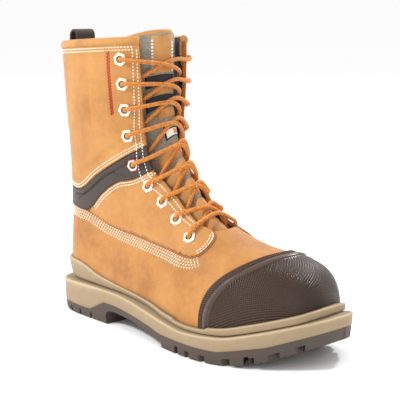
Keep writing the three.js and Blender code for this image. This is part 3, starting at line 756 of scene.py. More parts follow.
def fabric(name, colour, shade, pitch=0.9):
    finish = Finish(name, colour, 0.95, sheen=0.2, specular=0.2)
    place = finish.place()
    finish.colour(finish.ramp(finish.noise(2.2, 4.0), [(0.3, shade), (0.65, colour)]))
    weave = finish.times(finish.wave(pitch, place, bands="Y"), finish.wave(pitch, place, bands="Z"))
    finish.bump(weave, 0.25)
    return finish.material


def cap_rubber():
    """Brown rubber, smooth along the cap's rear border and grained ahead of it; the smooth border is painted
    a lighter brown as a painted highlight of its glossy rib.
    """
    finish = Finish("cap_rubber", "#3E2B1F", 0.42, specular=0.36)
    inside = finish.node("MapRange", {"From Min": 6.2, "From Max": 7.6})
    finish.join(finish.axis("X"), inside.inputs["Value"])
    grain_and_rib_highlight = inside.outputs["Result"]
    finish.bump(finish.times(finish.crossed(1.8, finish.place("UV")), grain_and_rib_highlight), 0.75)
    finish.rough(finish.ramp(grain_and_rib_highlight, [(0.0, 0.24), (1.0, 0.4)]))
    # Lighter brown on the smooth border: painted highlight of the glossy rib.
    tone = finish.ramp(grain_and_rib_highlight, [(0.0, "#56443A"), (1.0, "#3E2B1F")])
    finish.colour(tone, finish.ramp(finish.noise(3.0, 4.0), [(0.3, 0.88), (0.7, 1.0)]))
    return finish.material


def moulded(name):
    """Tan rubber with painted highlights on its edges and painted shade in its grooves; the second axis of
    the map holds this painted light and shade.
    """
    finish = Finish(name, "#A18B6D", 0.7)
    # Dark stops are painted shade in grooves and under the rim, pale stops are painted highlights on lit
    # edges.
    tone = finish.ramp(finish.axis("Y"), [(0.0, "#5E4E3A"), (0.5, "#A08A6C"), (1.0, "#C4B08D")])
    finish.colour(tone, finish.ramp(finish.noise(7.0, 5.0, rough=0.65), [(0.3, 0.9), (0.7, 1.0)]))
    finish.bump(finish.noise(0.35, 3.0), 0.06)
    finish.bump(finish.noise(1.6, 2.0), 0.05)
    return finish.material


def lace_cord():
    finish = Finish("lace_cord", "#C4702A", 0.8, sheen=0.2, specular=0.3)
    fleck = finish.noise(1.0, 2.0, finish.place("UV", (0.5, 1.7, 1)))
    stops = [(0.32, "#9A4A18"), (0.44, "#C67428"), (0.58, "#D88A3A"), (0.68, "#E9B65C")]
    finish.colour(finish.ramp(fleck, stops))
    finish.bump(finish.crossed(1.5, finish.place("UV")), 0.16)
    return finish.material


def webbing():
    finish = Finish("webbing", "#493731", 0.9, sheen=0.2, specular=0.2)
    for pitch, bands, depth in ((1.3, "X", 0.35), (0.8, "Y", 0.15)):
        finish.bump(finish.wave(pitch, finish.place("UV"), bands=bands), depth)
    return finish.material


# The vamp and counter leather is a shade darker than the quarters' and the shaft's: the leather's own tone,
# with painted shade of the boot's lower part on top.
LEATHER_SKIN = nubuck("vamp_nubuck", "#C38B4B", "#B57B3D", "#98622D")
LEATHER_PANEL = nubuck("quarter_nubuck", "#C58F50", "#BA8245", "#A77035")
LEATHER_EDGE = plain("leather_edge", "#A9622B", 0.8)
LINING = fabric("black_lining", "#262322", "#171615", 2.6)
CAP = cap_rubber()
# Dark binding cloth; it is also the painted shade in the band's grooves and in the eyelets' bores.
BINDING_AND_PAINTED_SHADE = plain("binding_cloth_and_painted_shade", "#2D2420", 0.75)
BAND_RUBBER = plain("band_rubber", "#3A302B", 0.5, 0.5, 0.05)
MIDSOLE = moulded("midsole_rubber")
OUTSOLE = plain("outsole_rubber", "#4B3F37", 0.62, 0.4, 0.05)
TONGUE_CLOTH = fabric("tongue_cloth", "#A39A8B", "#877E70", 1.8)
TONGUE_LEATHER = nubuck("tongue_nubuck", "#C89255", "#BE8649", "#AC733A")
LABEL = plain("label_black", "#1B1A1C", 0.6, 0.7, 0.08)
TAG_WHITE = plain("tag_white", "#E9E6DF", 0.6)
TAG_GREEN = plain("tag_green", "#2E9A7C", 0.6)
TAG_ORANGE = plain("tag_orange", "#DE8A4A", 0.6)
EYELET_PAINT = plain("eyelet_paint", "#F3EAD3", 0.35, 0.8, 0.02, coat=0.3)
EYELET_RED = plain("eyelet_red", "#B5352B", 0.35, 0.8, 0.02, coat=0.3)
LACE = lace_cord()
WEBBING = webbing()
THREAD = plain("white_thread", "#FAF3E4", 0.85, 0.3, 0.05)
THREAD_RED = plain("red_thread", "#B92F27", 0.85, 0.3, 0.05)
THREAD_BROWN = plain("brown_thread", "#64493A", 0.85, 0.3, 0.05)
INSOLE_CLOTH = fabric("insole_cloth", "#6E675E", "#57514A")


# The leather base of vamp, counter and shaft
LEATHER_LOW = 20  # the leather ends at this height, inside the midsole and under the insole


def base_grid(height, drop, columns=200):
    """Points of the base at a height over the last, and the row that each line of them starts on."""
    u = np.unique(np.concatenate([
        np.linspace(3.1, 7.3, 42), np.linspace(7.3, 8.3, 26), np.linspace(8.3, 19, 130),
    ]))
    start = throat_angle(u, 1)
    end = 2 * PI - throat_angle(u, -1)
    angle = start[:, None] + (end - start)[:, None] * np.linspace(0, 1, columns)
    rows = np.repeat(u[:, None], columns, axis=1)
    rows = rows + step_between(rows, 15, 19) * (collar_row(angle[-1], drop) - 19)
    points = lifted(rows, angle, height)
    points[..., 2] = np.maximum(points[..., 2], LEATHER_LOW)
    return points, u


def closed_front(points, u):
    """Faces of the base: ahead of the throat its first and last columns are one."""
    rows, columns = points.shape[:2]
    faces = grid_faces(rows, columns)
    ahead = np.repeat(u < THROAT[0][0] + 0.001, columns)
    index = np.arange(rows * columns)
    last = index % columns == columns - 1
    target = np.where(last & ahead, index - columns + 1, index)
    return target[faces]


def make_base():
    points, u = base_grid(0.0, COLLAR_BAND - 1)
    faces = closed_front(points, u)
    obj = add_mesh("upper_leather", points.reshape(-1, 3), faces, LEATHER_SKIN)
    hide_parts("upper")
    points, _ = base_grid(-LEATHER, COLLAR_BAND - 1)
    add_mesh("upper_lining", points.reshape(-1, 3), faces[:, ::-1], LINING)


def make_throat_edges():
    """The cut edge of the leather round the throat, from the lining out to the panel."""
    u = np.concatenate([np.linspace(7.28, 8.3, 30), np.linspace(8.35, 19.75, 120)])
    inset = [0.3, 0.05, 0.0, 0.05, 0.3, 0.7]
    height = [-LEATHER, -LEATHER * 0.8, -LEATHER * 0.4, -0.2, 0.1, 0.2]
    for side in SIDES:
        grid = [lifted(u, side * throat_angle(u, side, past), rise) for past, rise in zip(inset, height)]
        name = f"throat_edge_{SIDE_WORD[side]}"
        add_grid(name, np.array(grid), LEATHER_EDGE, flip=side > 0)


# Panels
def shaft_outline():
    outer = side_line(BAND_TOP[-1], -1)
    inner = side_line(BAND_TOP[1], 1)
    collar = collar_line(COLLAR_BAND - 0.2)
    up = throat_line(inner[-1, 0] + 0.05, collar[0, 0] - 0.05, 1)
    down = throat_line(collar[-1, 0] - 0.05, outer[-1, 0] + 0.05, -1)
    low = softened(np.vstack([outer[::-1], inner[1:]]), 8)
    return np.vstack([up, collar, down, low[1:-1]])


def quarter_outline(side):
    seam = side_line(SEAM, side)
    band = side_line(BAND_LOW[side], side)
    if side < 0:
        seam = ahead_of(seam, 0.19)
        band = ahead_of(band, 0.195)
    throat = throat_line(8.12, band[-1, 0] - 0.05, side)
    return np.vstack([seam, throat, band[::-1][1:]])


def band_outline(side):
    top = side_line(BAND_TOP[side], side)
    low = side_line(BAND_LOW[side], side)
    front = throat_line(low[-1, 0] + 0.04, top[-1, 0] - 0.04, side, count=24)
    return np.vstack([low, front, top[::-1]])


def near_line(place, shares):
    """Distance in the side view from each place to a given line."""
    flat = place[:, [0, 2]]
    return np.min(np.linalg.norm(flat[:, None] - view_line(shares, 1.0), axis=2), axis=1)


def dip(distance, width):
    """A soft bump of height one round the places where a distance is nought."""
    return np.exp(-(distance / width) ** 2)


def band_relief(side):
    """Two grooves and, high up beside the throat, a field of ribs."""
    def relief(place, where):
        rise = -0.75 * dip(near_line(place, BAND_GROOVE), 0.9)
        rise -= 0.6 * dip(near_line(place, BAND_STEP), 0.8)
        depth = (from_front(where[:, 1]) - throat_angle(where[:, 0], side)) * 44
        ribbed = (depth > 6) * (depth < 14.4) * (place[:, 2] > 0.585 * COLLAR_HEIGHT)
        return rise + 0.4 * np.cos(2 * PI * depth / 2.8) * ribbed
    return relief


def creases(place, _=None):
    """Height of the leather's soft waves and creases at each place."""
    x, _, z = place.T
    rise = 0.35 * np.sin(x / 17 + z / 29) * np.sin(z / 23 - x / 41)
    for at_x, at_z, length, width, turn, depth in CREASES:
        cos, sin = math.cos(math.radians(turn)), math.sin(math.radians(turn))
        along = ((x - at_x) * cos + (z - at_z) * sin) / length
        across = (-(x - at_x) * sin + (z - at_z) * cos) / width
        fold = np.exp(-along**2 - across**2) - 0.5 * np.exp(-along**2 - (across - 1.6) ** 2)
        rise -= depth * fold
    return rise


def shaft_relief(place, where):
    """The shallow pressed rectangle, the ridges beside the red stripe, and the creases."""
    x, y, z = place.T
    low_x, high_x, low_z, high_z = STAMP
    edge = np.minimum(np.minimum(x - low_x, high_x - x), np.minimum(z - low_z, high_z - z))
    pressed = -(0.35 * step_between(edge, -0.6, 0.8) + 0.6 * dip(edge - 2.2, 1.2)) * (y < 0)
    beside = np.abs(x - STRIPE_X)
    ridge = (0.4 * dip(beside - 3.3, 0.7) - 0.5 * dip(beside, 1.8)) * step_between(z, 187, 190)
    return pressed + ridge + creases(place)


def add_bead(name, line, height, radius, material):
    """A thin round bead along a line of rows and angles."""
    add_grid(name, tube_points(line_lifted(line, height), radius, 8), material, wrap=True)


def make_band_lines():
    """Dark beads in the bottoms of the two grooves moulded in the outer band: painted shade of the grooves.
    """
    for shares, name in ((BAND_GROOVE, "band_line_upper"), (BAND_STEP, "band_line_lower")):
        add_bead(name, onto(view_line(shares, 1.5), -1), BAND - 0.75, 0.5, BINDING_AND_PAINTED_SHADE)


def make_edge_beads():
    """The dark cut edge of the quarters along the seam."""
    for side in SIDES:
        name = f"seam_edge_{SIDE_WORD[side]}"
        add_bead(name, side_line(SEAM, side), 0.55, 0.6, LEATHER_EDGE)


def make_panels():
    add_panel("shaft_leather", shaft_outline(), QUARTER_STEP, LEATHER_PANEL,
              shaft_relief, spacing=1.15, edge_material=LEATHER_EDGE)
    for side in SIDES:
        word = SIDE_WORD[side]
        add_panel(f"quarter_{word}", quarter_outline(side), QUARTER_STEP, LEATHER_PANEL,
                  creases, edge_material=LEATHER_EDGE)
        band = add_panel(f"band_{word}", band_outline(side), BAND, BAND_RUBBER,
                         band_relief(side), spacing=0.8)
        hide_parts(f"ankle_band_{NODE_WORD[side]}")


# Toe cap and its stitched binding
CAP_ANGLES = np.linspace(-2.1, 2.1, 150)
# Height of the cap's rear border over the last: distance from its edge, height in front, height at the sides
CAP_BORDER = np.array([
    [0, -0.3, -0.3], [0.02, 1.2, 1.2], [0.3, 2.0, 2.0], [0.7, 2.5, 2.3], [1.2, 2.9, 2.3], [1.8, 3.1, 2.4],
    [2.4, 3.2, 3.0], [3.0, 3.3, 3.8], [3.6, 3.3, 4.2], [4.2, 3.3, 4.3], [4.8, 3.3, 4.1], [5.3, 3.2, 3.4],
    [5.8, 2.8, 2.5], [6.4, 1.9, 2.1], [7.2, 1.8, 2.2], [8.2, 2.2, 2.4], [9.6, 2.4, 2.4],
])


def cap_edge_rows(shift=0.0):
    """Row of the last at the cap's rear edge for each angle, shift moves it back."""
    shares = np.array(CAP_EDGE) * [SOLE_LENGTH, COLLAR_HEIGHT]
    lift = np.where(np.arange(len(shares)) > 1, shift * 0.55, 0)
    line = curve_through(shares + np.stack([np.full(len(shares), -shift), lift], -1), 0.8)
    rows = np.empty(len(CAP_ANGLES))
    for side in SIDES:
        place = onto(line, side)
        front = from_front(place[:, 1])
        order = np.argsort(front)
        mine = CAP_ANGLES > 0 if side > 0 else CAP_ANGLES <= 0
        rows[mine] = np.interp(np.abs(CAP_ANGLES[mine]), front[order], place[order, 0])
    return softened(rows[:, None], 60)[:, 0]


def cap_column(angle, start):
    """Points of the cap from its rear edge to the toe's tip, and their distances along the last."""
    share = np.linspace(0, 1, 60)[1:]
    near, front, beside = CAP_BORDER.T
    fine = np.linspace(start, 0, 240)
    steps = np.linalg.norm(np.diff(last_point(fine, angle), axis=0), axis=1)
    length = np.concatenate([[0], np.cumsum(steps)])
    stops = np.concatenate([near, near[-1] + (length[-1] - near[-1]) * share])
    height = front + (beside - front) * step_between(abs(angle), 0.5, 1.0)
    lifts = np.concatenate([height, np.full(len(share), CAP_FIELD)])
    return lifted(np.interp(stops, length, fine), angle, lifts), stops


def make_toe_cap():
    columns = [cap_column(angle, start) for angle, start in zip(CAP_ANGLES, cap_edge_rows())]
    grid = np.array([points for points, _ in columns]).transpose(1, 0, 2)
    across = np.cumsum(np.linalg.norm(np.diff(grid, axis=1, prepend=grid[:, :1]), axis=2), axis=1)
    across -= across[:, len(CAP_ANGLES) // 2, None]
    uv = np.stack([np.array([stops for _, stops in columns]).T, across], -1)
    rim = grid[-1]
    tip = rim.mean(0)
    for k in (0.7, 0.4, 0.02):
        ring = tip + (rim - tip) * k + np.array([0.7 * (1 - k * k), 0, 0])
        grid = np.concatenate([grid, ring[None]])
        uv = np.concatenate([uv, uv[-1:] + [1.6, 0]])
    obj = add_grid("toe_cap_rubber", grid, CAP, uv=uv, flip=True)
    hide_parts("toe_cap")


def make_binding(dark):
    """The binding behind the cap, with short stitches across it in two rows."""
    outer, inner = cap_edge_rows(5.2), cap_edge_rows(-0.5)
    share = np.array([0, 0.02, 0.1, 0.2, 0.5, 0.8, 1.0])
    height = BINDING * np.array([-0.3, 0.5, 0.85, 1.0, 1.05, 1.0, 0.9])
    rows = outer + (inner - outer) * share[:, None]
    points = lifted(rows, CAP_ANGLES, np.broadcast_to(height[:, None], rows.shape))
    obj = add_grid("toe_cap_binding", points, BINDING_AND_PAINTED_SHADE, flip=True)
    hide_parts("toe_cap_edge")
    for low, high in ((0.14, 0.44), (0.5, 0.78)):
        for k in range(120):
            angle = -1.9 + 3.8 * k / 120
            back, front = np.interp(angle, CAP_ANGLES, outer), np.interp(angle, CAP_ANGLES, inner)
            ends = [lifted(back + (front - back) * s, angle + 0.002, BINDING * 1.05) for s in (low, high)]
            dark.add(ends[0], ends[1], last_normal(back, angle), 0.4)


# Collar, tongue and pull loop
# Section of the collar over the roll and down inside: height over the last, distance below the top
COLLAR_PROFILE = [
    (0.0, 6.5), (1.3, 6.1), (2.2, 5.0), (2.6, 3.6), (2.4, 2.0), (1.7, 0.5), (0.4, -0.4), (-1.2, -0.9),
    (-2.6, -0.5), (-3.8, 0.6), (-4.5, 2.6), (-4.9, 6), (-5.1, 11), (-4.8, 16), (-3.6, 22), (-2.3, 27),
]
ROLL_END = 10  # so many places of the section belong to the leather roll, the others to the lining


def make_collar():
    angle = collar_angles(0.3, 240)
    grid = np.array([lifted(collar_row(angle, drop), angle, height) for height, drop in COLLAR_PROFILE])
    roll = add_grid("collar_roll", grid[:ROLL_END], TONGUE_LEATHER)
    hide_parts("collar")
    add_grid("collar_lining", grid[ROLL_END - 1:], LINING)
    count = len(grid)
    for end, word in ((0, "inner"), (-1, "outer")):
        ring = grid[:, end]
        faces = [[k, k + 1, count] if end == 0 else [k + 1, k, count] for k in range(count - 1)]
        points = np.vstack([ring, ring.mean(0)])
        add_mesh(f"collar_end_{word}", points, faces, TONGUE_LEATHER)


TONGUE_TOP = 20.15
# Row of the last, angle of the tongue's side edge
TONGUE_REACH = [[7, 0.6], [9, 0.85], [12, 1.0], [14, 1.02], [21, 1.02]]
# Rows of the last between which each puff of the tongue swells
PUFFS = [[7.35, 8.3], [8.4, 9.3], [9.45, 10.4], [10.55, 11.6], [11.75, 12.6]]


def tongue_height(angle):
    return -LEATHER - 3.7 - 3.6 * step_between(np.abs(angle), 0.12, 0.45)


def make_tongue():
    u = np.linspace(7.1, TONGUE_TOP, 150)
    share = np.linspace(-1, 1, 61)
    angle = line_at(TONGUE_REACH, u)[:, None] * share
    rows = np.repeat(u[:, None], len(share), 1)
    rows = rows - step_between(rows, 17, TONGUE_TOP) * 0.34 * np.abs(share) ** 2.2
    quilt = 0.5 * np.sin(rows * 5.0) * np.cos(angle * 3)
    front = lifted(rows, angle, tongue_height(angle) + quilt)
    back = lifted(rows, angle, tongue_height(angle) - TONGUE_THICKNESS)
    middle, half = (front[-1] + back[-1]) / 2, (front[-1] - back[-1]) / 2
    rise = unit(front[-1] - front[-3]) * TONGUE_THICKNESS * 0.5
    edge = [middle + half * math.cos(t) + rise * math.sin(t) for t in np.linspace(0, PI, 9)[1:-1]]
    grid = np.concatenate([front, np.array(edge), back[::-1]])
    obj = add_grid("tongue_pad", grid, TONGUE_CLOTH)
    row = np.arange(len(grid) - 1).repeat(len(share) - 1)
    paint_faces(obj, [TONGUE_LEATHER], (row > len(u) - 2) & (row < len(u) + len(edge) + 2))
    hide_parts("tongue")


def tongue_patch(name, low, high, half, bulge, material, lift=0.3, corner=3.0, shift=0.1):
    """A piece sewn on the tongue between two rows, half as wide as given, swelling by bulge."""
    u = np.linspace(low, high, 24)
    across = np.linspace(-1, 1, 31)
    rows = np.repeat(u[:, None], len(across), 1)
    centre = smooth_rows(ROWS, u)
    width = (centre[:, 5] + centre[:, 6]) / 2
    reach = np.arcsin(np.clip(half / width, 0, 1) ** (centre[:, 9] / 2))
    angle = reach[:, None] * np.sign(across) * np.abs(across) ** 0.95 - shift
    s = np.abs((rows - (low + high) / 2) / ((high - low) / 2))
    t = np.abs(np.broadcast_to(across, rows.shape))
    swell = (1 - s**corner) * (1 - t**corner)
    rise = np.where((s > 0.999) | (t > 0.999), -1.0, lift + bulge * np.clip(swell, 0, 1) ** 0.6)
    points = lifted(rows, angle, tongue_height(angle) + rise)
    return add_grid(name, points, material)


# Pieces sewn on the tongue: name, rows from and to, half width, swelling, material, squareness
TONGUE_PIECES = [
    ("strip", 17.4, 20.1, 12, 0.6, TONGUE_LEATHER, 12),
    ("label_upper", 16.55, 17.35, 20, 0.5, LABEL, 14),
    ("patch_upper", 16.0, 16.5, 13, 0.5, TONGUE_LEATHER, 10),
    ("label_lower", 15.1, 15.95, 20, 0.5, LABEL, 14),
    ("patch_lower", 14.3, 15.0, 12, 0.6, TONGUE_LEATHER, 10),
    ("tag_frame", 12.95, 13.95, 9, 0.6, LABEL, 16),
]


def make_tongue_pieces():
    for name, low, high, half, bulge, material, corner in TONGUE_PIECES:
        tongue_patch(f"tongue_{name}", low, high, half, bulge, material, corner=corner)
    tongue_patch("tongue_tag_white", 13.05, 13.55, 7.6, 0.25, TAG_WHITE, lift=0.95, corner=16)
    tongue_patch("tongue_tag_green", 13.58, 13.88, 7.6, 0.25, TAG_GREEN, lift=0.95, corner=16)
    tongue_patch("tongue_tag_orange", 13.12, 13.48, 3.0, 0.15, TAG_ORANGE, lift=1.15, corner=8, shift=0.01)
    for index, (low, high) in enumerate(PUFFS):
        tongue_patch(f"tongue_puff_{index + 1}", low, high, 17, 1.3, TONGUE_LEATHER, corner=2.4)


def make_loop():
    """A strap that goes up behind the collar, over its top and down inside."""
    low, top = COLLAR_HEIGHT - 30, COLLAR_HEIGHT + LOOP_RISE
    back = 0.015 * SHAFT_DEPTH
    middle = [
        [0.029 * SHAFT_DEPTH - 2.7, low], [back - 2.7, COLLAR_HEIGHT + 2], [back - 1.7, top - 3.5],
        [back + 2.4, top - 0.9], [back + 6.3, top - 3.5], [back + 7.3, COLLAR_HEIGHT + 2],
        [0.031 * SHAFT_DEPTH + 8, low],
    ]
    line = curve_through(middle, 1.0)
    way = unit(np.gradient(line, axis=0))
    out = np.stack([-way[:, 1], way[:, 0]], -1)
    half, thick = LOOP_WIDTH / 2, LOOP_THICKNESS / 2
    upper = [(-half, 0.3), (-half + 0.5, thick), (half - 0.5, thick), (half, 0.3)]
    ring, uv = [], []
    for y, height in [*upper, *((y, -height) for y, height in upper[::-1])]:
        place = line + out * height
        width = np.full(len(line), float(y))
        ring.append(np.stack([place[:, 0], width, place[:, 1]], -1))
        uv.append(np.stack([width, np.arange(len(line), dtype=float)], -1))
    grid, uv = np.array(ring).transpose(1, 0, 2), np.array(uv).transpose(1, 0, 2)
    obj = add_grid("pull_loop_webbing", grid, WEBBING, wrap=True, uv=uv)
    obj.data.set_sharp_from_angle(angle=math.radians(40))
    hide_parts("pull_loop")


# Eyelets and lace
def eyelet_place(index, side):
    u, degrees = EYELETS[index]
    angle = side * math.radians(degrees)
    around, _ = last_slopes(u, angle)
    out = last_normal(u, angle)
    return last_point(u, angle) + out * QUARTER_STEP, out, -side * unit(around)


# Section of an eyelet from its rim to the end of its bore: radius, height, how far it is six-sided
EYELET_PROFILE = [
    (EYELET_RADIUS * 0.98, -0.1, 1), (EYELET_RADIUS, 0.35, 1), (EYELET_RADIUS * 0.95, 0.8, 1),
    (EYELET_RADIUS * 0.82, 1.15, 0.9), (EYELET_RADIUS * 0.68, 1.2, 0.4), (EYELET_BORE + 0.4, 1.0, 0.1),
    (EYELET_BORE, 0.4, 0), (EYELET_BORE, -LEATHER - 1.8, 0),
]


def make_eyelet(index, side):
    centre, out, inward = eyelet_place(index, side)
    up = np.cross(out, inward)
    turn = np.linspace(0, 2 * PI, 48, endpoint=False)
    hexagon = math.cos(PI / 6) / np.cos((turn + PI / 6) % (PI / 3) - PI / 6)
    grid = []
    for radius, height, six in EYELET_PROFILE:
        size = radius * (1 + (hexagon - 1) * six)
        ring = np.outer(np.cos(turn) * size, inward) + np.outer(np.sin(turn) * size, up)
        grid.append(centre + ring + out * height)
    name = f"{NODE_WORD[side]}_{index + 1}"
    obj = add_grid(f"eyelet_ring_{name}", np.array(grid), EYELET_PAINT, wrap=True)
    band = np.arange(len(obj.data.polygons)) // len(turn)
    # The bore and its inner lip wear the dark cloth as painted shade inside the hole; the red eyelet's top
    # is red paint.
    bore_shade_and_red_paint = np.where(band > 4, 1, 0)
    if index == RED_EYELET:
        bore_shade_and_red_paint[band < 3] = 2
    paint_faces(obj, [BINDING_AND_PAINTED_SHADE, EYELET_RED], bore_shade_and_red_paint)
    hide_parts(f"eyelet_{name}")


OVER_FLAP = QUARTER_STEP + LACE_RADIUS + 0.35


def flap_edge(index, side, height, past=0.0, drop=0.0):
    """A place on the throat's edge, drop counts from this eyelet to the next one."""
    u = EYELETS[index][0]
    if drop:
        u += drop * (EYELETS[index + 1][0] - u)
    return lifted(u, side * throat_angle(u, side, past), height)


def mouth_points(index, side):
    """The lace's way out of an eyelet: up through the bore and over the ring."""
    centre, out, inward = eyelet_place(index, side)
    steps = ((-4.0, 0), (0.4, 0), (2.7, 1.6), (3.2, 5.8))
    return [centre + out * height + inward * ahead for height, ahead in steps]


def strand_path(index, side, lift):
    """From an eyelet over the flap, across the tongue and under the other flap to the next eyelet."""
    centre, out, _ = eyelet_place(index + 1, -side)
    u, following = EYELETS[index][0], EYELETS[index + 1][0]
    mouth = mouth_points(index, side)
    mouth[-1] = mouth[-1] + unit(centre * [1, -1, 1] - mouth[0]) * 1.2
    flap = flap_edge(index, side, OVER_FLAP, 0.0, 0.26)
    crossing = lifted(u + (following - u) * 0.6, -0.13, lift)
    beyond = lifted(u + (following - u) * (0.84 if side < 0 else 0.34), 0.22, lift + side * 1.8 + 0.6)
    middle = [crossing, beyond][::-side]
    inside = flap_edge(index, -side, -LEATHER - LACE_RADIUS - 0.5, -1.5, 0.96)
    return np.array([*mouth, flap, *middle, inside, centre - out * (LEATHER + 4.5)])


def bar_path():
    """The straight bar between the two lowest eyelets."""
    last = len(EYELETS) - 1
    one = [*mouth_points(last, -1), flap_edge(last, -1, OVER_FLAP)]
    other = [*mouth_points(last, 1), flap_edge(last, 1, OVER_FLAP)]
    return np.array([*one, lifted(EYELETS[last][0], 0.0, 2.0), *other[::-1]])


def lace_paths():
    paths = [bar_path()]
    for index in range(len(EYELETS) - 1):
        puffed = 0.7 if index > 3 else 0.0
        paths.append(strand_path(index, -1, puffed - 0.3))
        paths.append(strand_path(index, 1, puffed - 4.1))
    return paths


def make_lace():
    points, faces, uv = [], [], []
    count, sides, step = 0, 12, 0.9
    for path in lace_paths():
        line = softened(curve_through(path, step), 5)
        points.append(tube_points(line, LACE_RADIUS, sides, 0.9).reshape(-1, 3))
        faces.append(grid_faces(len(line), sides, wrap=True) + count)
        along = np.arange(len(line)) * step
        around = np.arange(sides) * 2 * PI * LACE_RADIUS / sides
        uv.append(np.stack(np.meshgrid(along, around, indexing="ij"), -1).reshape(-1, 2))
        count += len(line) * sides
    obj = add_mesh("lace_cord", np.vstack(points), np.vstack(faces), LACE, uv=np.vstack(uv))
    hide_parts("lace")


# Sole
OUTLINE = smooth_rows(OUTLINE_ROWS, np.linspace(0, len(OUTLINE_ROWS) - 1, 900))


def sole_loop(step=1.7):
    """The sole's outline, outer side from heel to toe and back along the arch side."""
    x = OUTLINE[:, 0] * SOLE_LENGTH
    outer = np.stack([x, -OUTLINE[:, 1] * BALL_WIDTH], -1)
    inner = np.stack([x, OUTLINE[:, 2] * BALL_WIDTH], -1)
    return softened(resampled(np.vstack([outer, inner[::-1]]), step, closed=True), 3, closed=True)


def edge_y(share, side):
    """The sole's edge on one side, at a share of its length."""
    return side * np.interp(share, OUTLINE[:, 0], OUTLINE[:, 1 if side < 0 else 2]) * BALL_WIDTH


def soft_loop(values, times):
    """A closed row of numbers, evened out."""
    return softened(values[:, None], times, closed=True)[:, 0]


def loop_inward(loop):
    way = unit(np.roll(loop, -1, 0) - np.roll(loop, 1, 0))
    return softened(np.stack([-way[:, 1], way[:, 0]], -1), 3, closed=True)


def last_tree():
    """The last as a surface that rays can hit."""
    u = np.linspace(0, 17, 200)
    angle = np.linspace(0, 2 * PI, 161)[:-1]
    rows, turns = np.meshgrid(u, angle, indexing="ij")
    points = last_point(rows, turns).reshape(-1, 3)
    faces = grid_faces(len(u), len(angle), wrap=True).tolist()
    points = np.vstack([points, points[:len(angle)].mean(0)])
    tip = len(points) - 1
    faces += [[(j + 1) % len(angle), j, tip] for j in range(len(angle))]
    return BVHTree.FromPolygons([Vector(p) for p in points], faces)


def depth_to_last(tree, loop, inward, height):
    """How far inside the outline the last's surface lies, at a height for each station."""
    found = []
    for point, way, z in zip(loop, inward, height):
        start = Vector((*(point - way * 12), z))
        hit = tree.ray_cast(start, Vector((*way, 0)), 80)
        found.append(hit[3] - 12 if hit[0] is not None else np.nan)
    found = np.array(found)
    good = ~np.isnan(found)
    index = np.arange(len(found))
    return np.interp(index, index[good], found[good])


# The midsole's wall up to the step in its side: share of the height, inset, tone (painted light: pale on the
# step's lit edge)
WALL_LEVELS = (
    (0.15, 0.3, 0.5), (0.35, 0.15, 0.5), (0.55, 0.05, 0.52), (0.72, 0.0, 0.54), (0.84, -0.1, 0.62),
    (0.91, -0.25, 0.85), (0.96, -0.1, 1.0),
)
# The rim above the step: share of the height, how much thicker than the rim, tone (painted shade in the
# groove under the rim, painted highlight on its top edge)
RIM_LEVELS = (
    (0.0, -1.6, 0.12), (0.07, -1.7, 0.1), (0.11, -1.0, 0.2), (0.15, -0.3, 0.42), (0.22, -0.1, 0.46),
    (0.4, 0.0, 0.46), (0.6, 0.0, 0.48), (0.8, 0.0, 0.5), (0.9, -0.1, 0.62), (0.95, -0.5, 0.9),
    (0.985, -1.2, 0.8), (1.0, -2.0, 0.5),
)


def wall_levels(colour, side):
    """Inset, height and tone of each level from the outsole up to the step; the tone is painted light and
    shade.
    """
    levels = [(6.0, colour - 0.6, 0.3), (0.9, colour - 0.2, 0.3), (0.5, colour + 0.4, 0.45)]
    levels += [(inset, colour + (side - colour) * part, tone) for part, inset, tone in WALL_LEVELS]
    return [*levels, (0.7, side - 0.3, 0.9), (1.6, side + 0.1, 0.45)]


def rim_levels(loop, inward, side, rim):
    """Inset, height and tone of each level from the step to the rim, and down inside it; the tone is painted
    light and shade, dark down inside the rim.
    """
    tree = last_tree()
    thick = line_at(RIM_THICKNESS, loop[:, 0] / SOLE_LENGTH)
    levels = []
    for part, out, tone in RIM_LEVELS:
        height = side + 0.3 + (rim - side) * part
        inset = depth_to_last(tree, loop, inward, height)
        inset = soft_loop(inset, 2) - np.maximum(thick + out, 0.4)
        levels.append((np.maximum(inset, 3.6 if part < 0.08 else 2.0), height, tone))
    inset = depth_to_last(tree, loop, inward, rim)
    # The last two levels go down inside the rim, darkened as painted shade.
    return [*levels, (inset + 0.8, rim + 0.1, 0.2), (inset + 1.5, rim - 4, 0.1)]


def make_midsole():
    loop = sole_loop()
    inward = loop_inward(loop)
    share = loop[:, 0] / SOLE_LENGTH
    side = soft_loop(line_at(SIDE_LINE, share), 20)
    rim = soft_loop(line_at(RIM_LINE, share), 14)
    rim = rim - 1.5 * step_between(share, 0.6, 0.612) * (1 - step_between(share, 0.735, 0.745))
    levels = wall_levels(line_at(COLOUR_LINE, share), side)
    levels += rim_levels(loop, inward, side, rim)
    grid, uv = [], []
    for inset, height, tone in levels:
        flat = loop + inward * np.broadcast_to(inset, len(loop))[:, None]
        grid.append(np.stack([flat[:, 0], flat[:, 1], height], -1))
        # The map's second axis carries each level's painted light and shade.
        uv.append(np.stack([np.arange(len(loop)), np.full(len(loop), tone)], -1))
    obj = add_grid("midsole_rubber", np.array(grid), MIDSOLE, wrap=True, uv=np.array(uv))
    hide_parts("midsole")


# The outsole's own wall from the tread up: inset, line of heights, height over it
SOLE_LEVELS = [
    (2.6, TREAD_LINE, 0.0), (1.9, TREAD_LINE, 0.6), (1.3, TREAD_LINE, 5.0), (1.0, TREAD_LINE, 7.5),
    (1.0, COLOUR_LINE, 0.0),
]


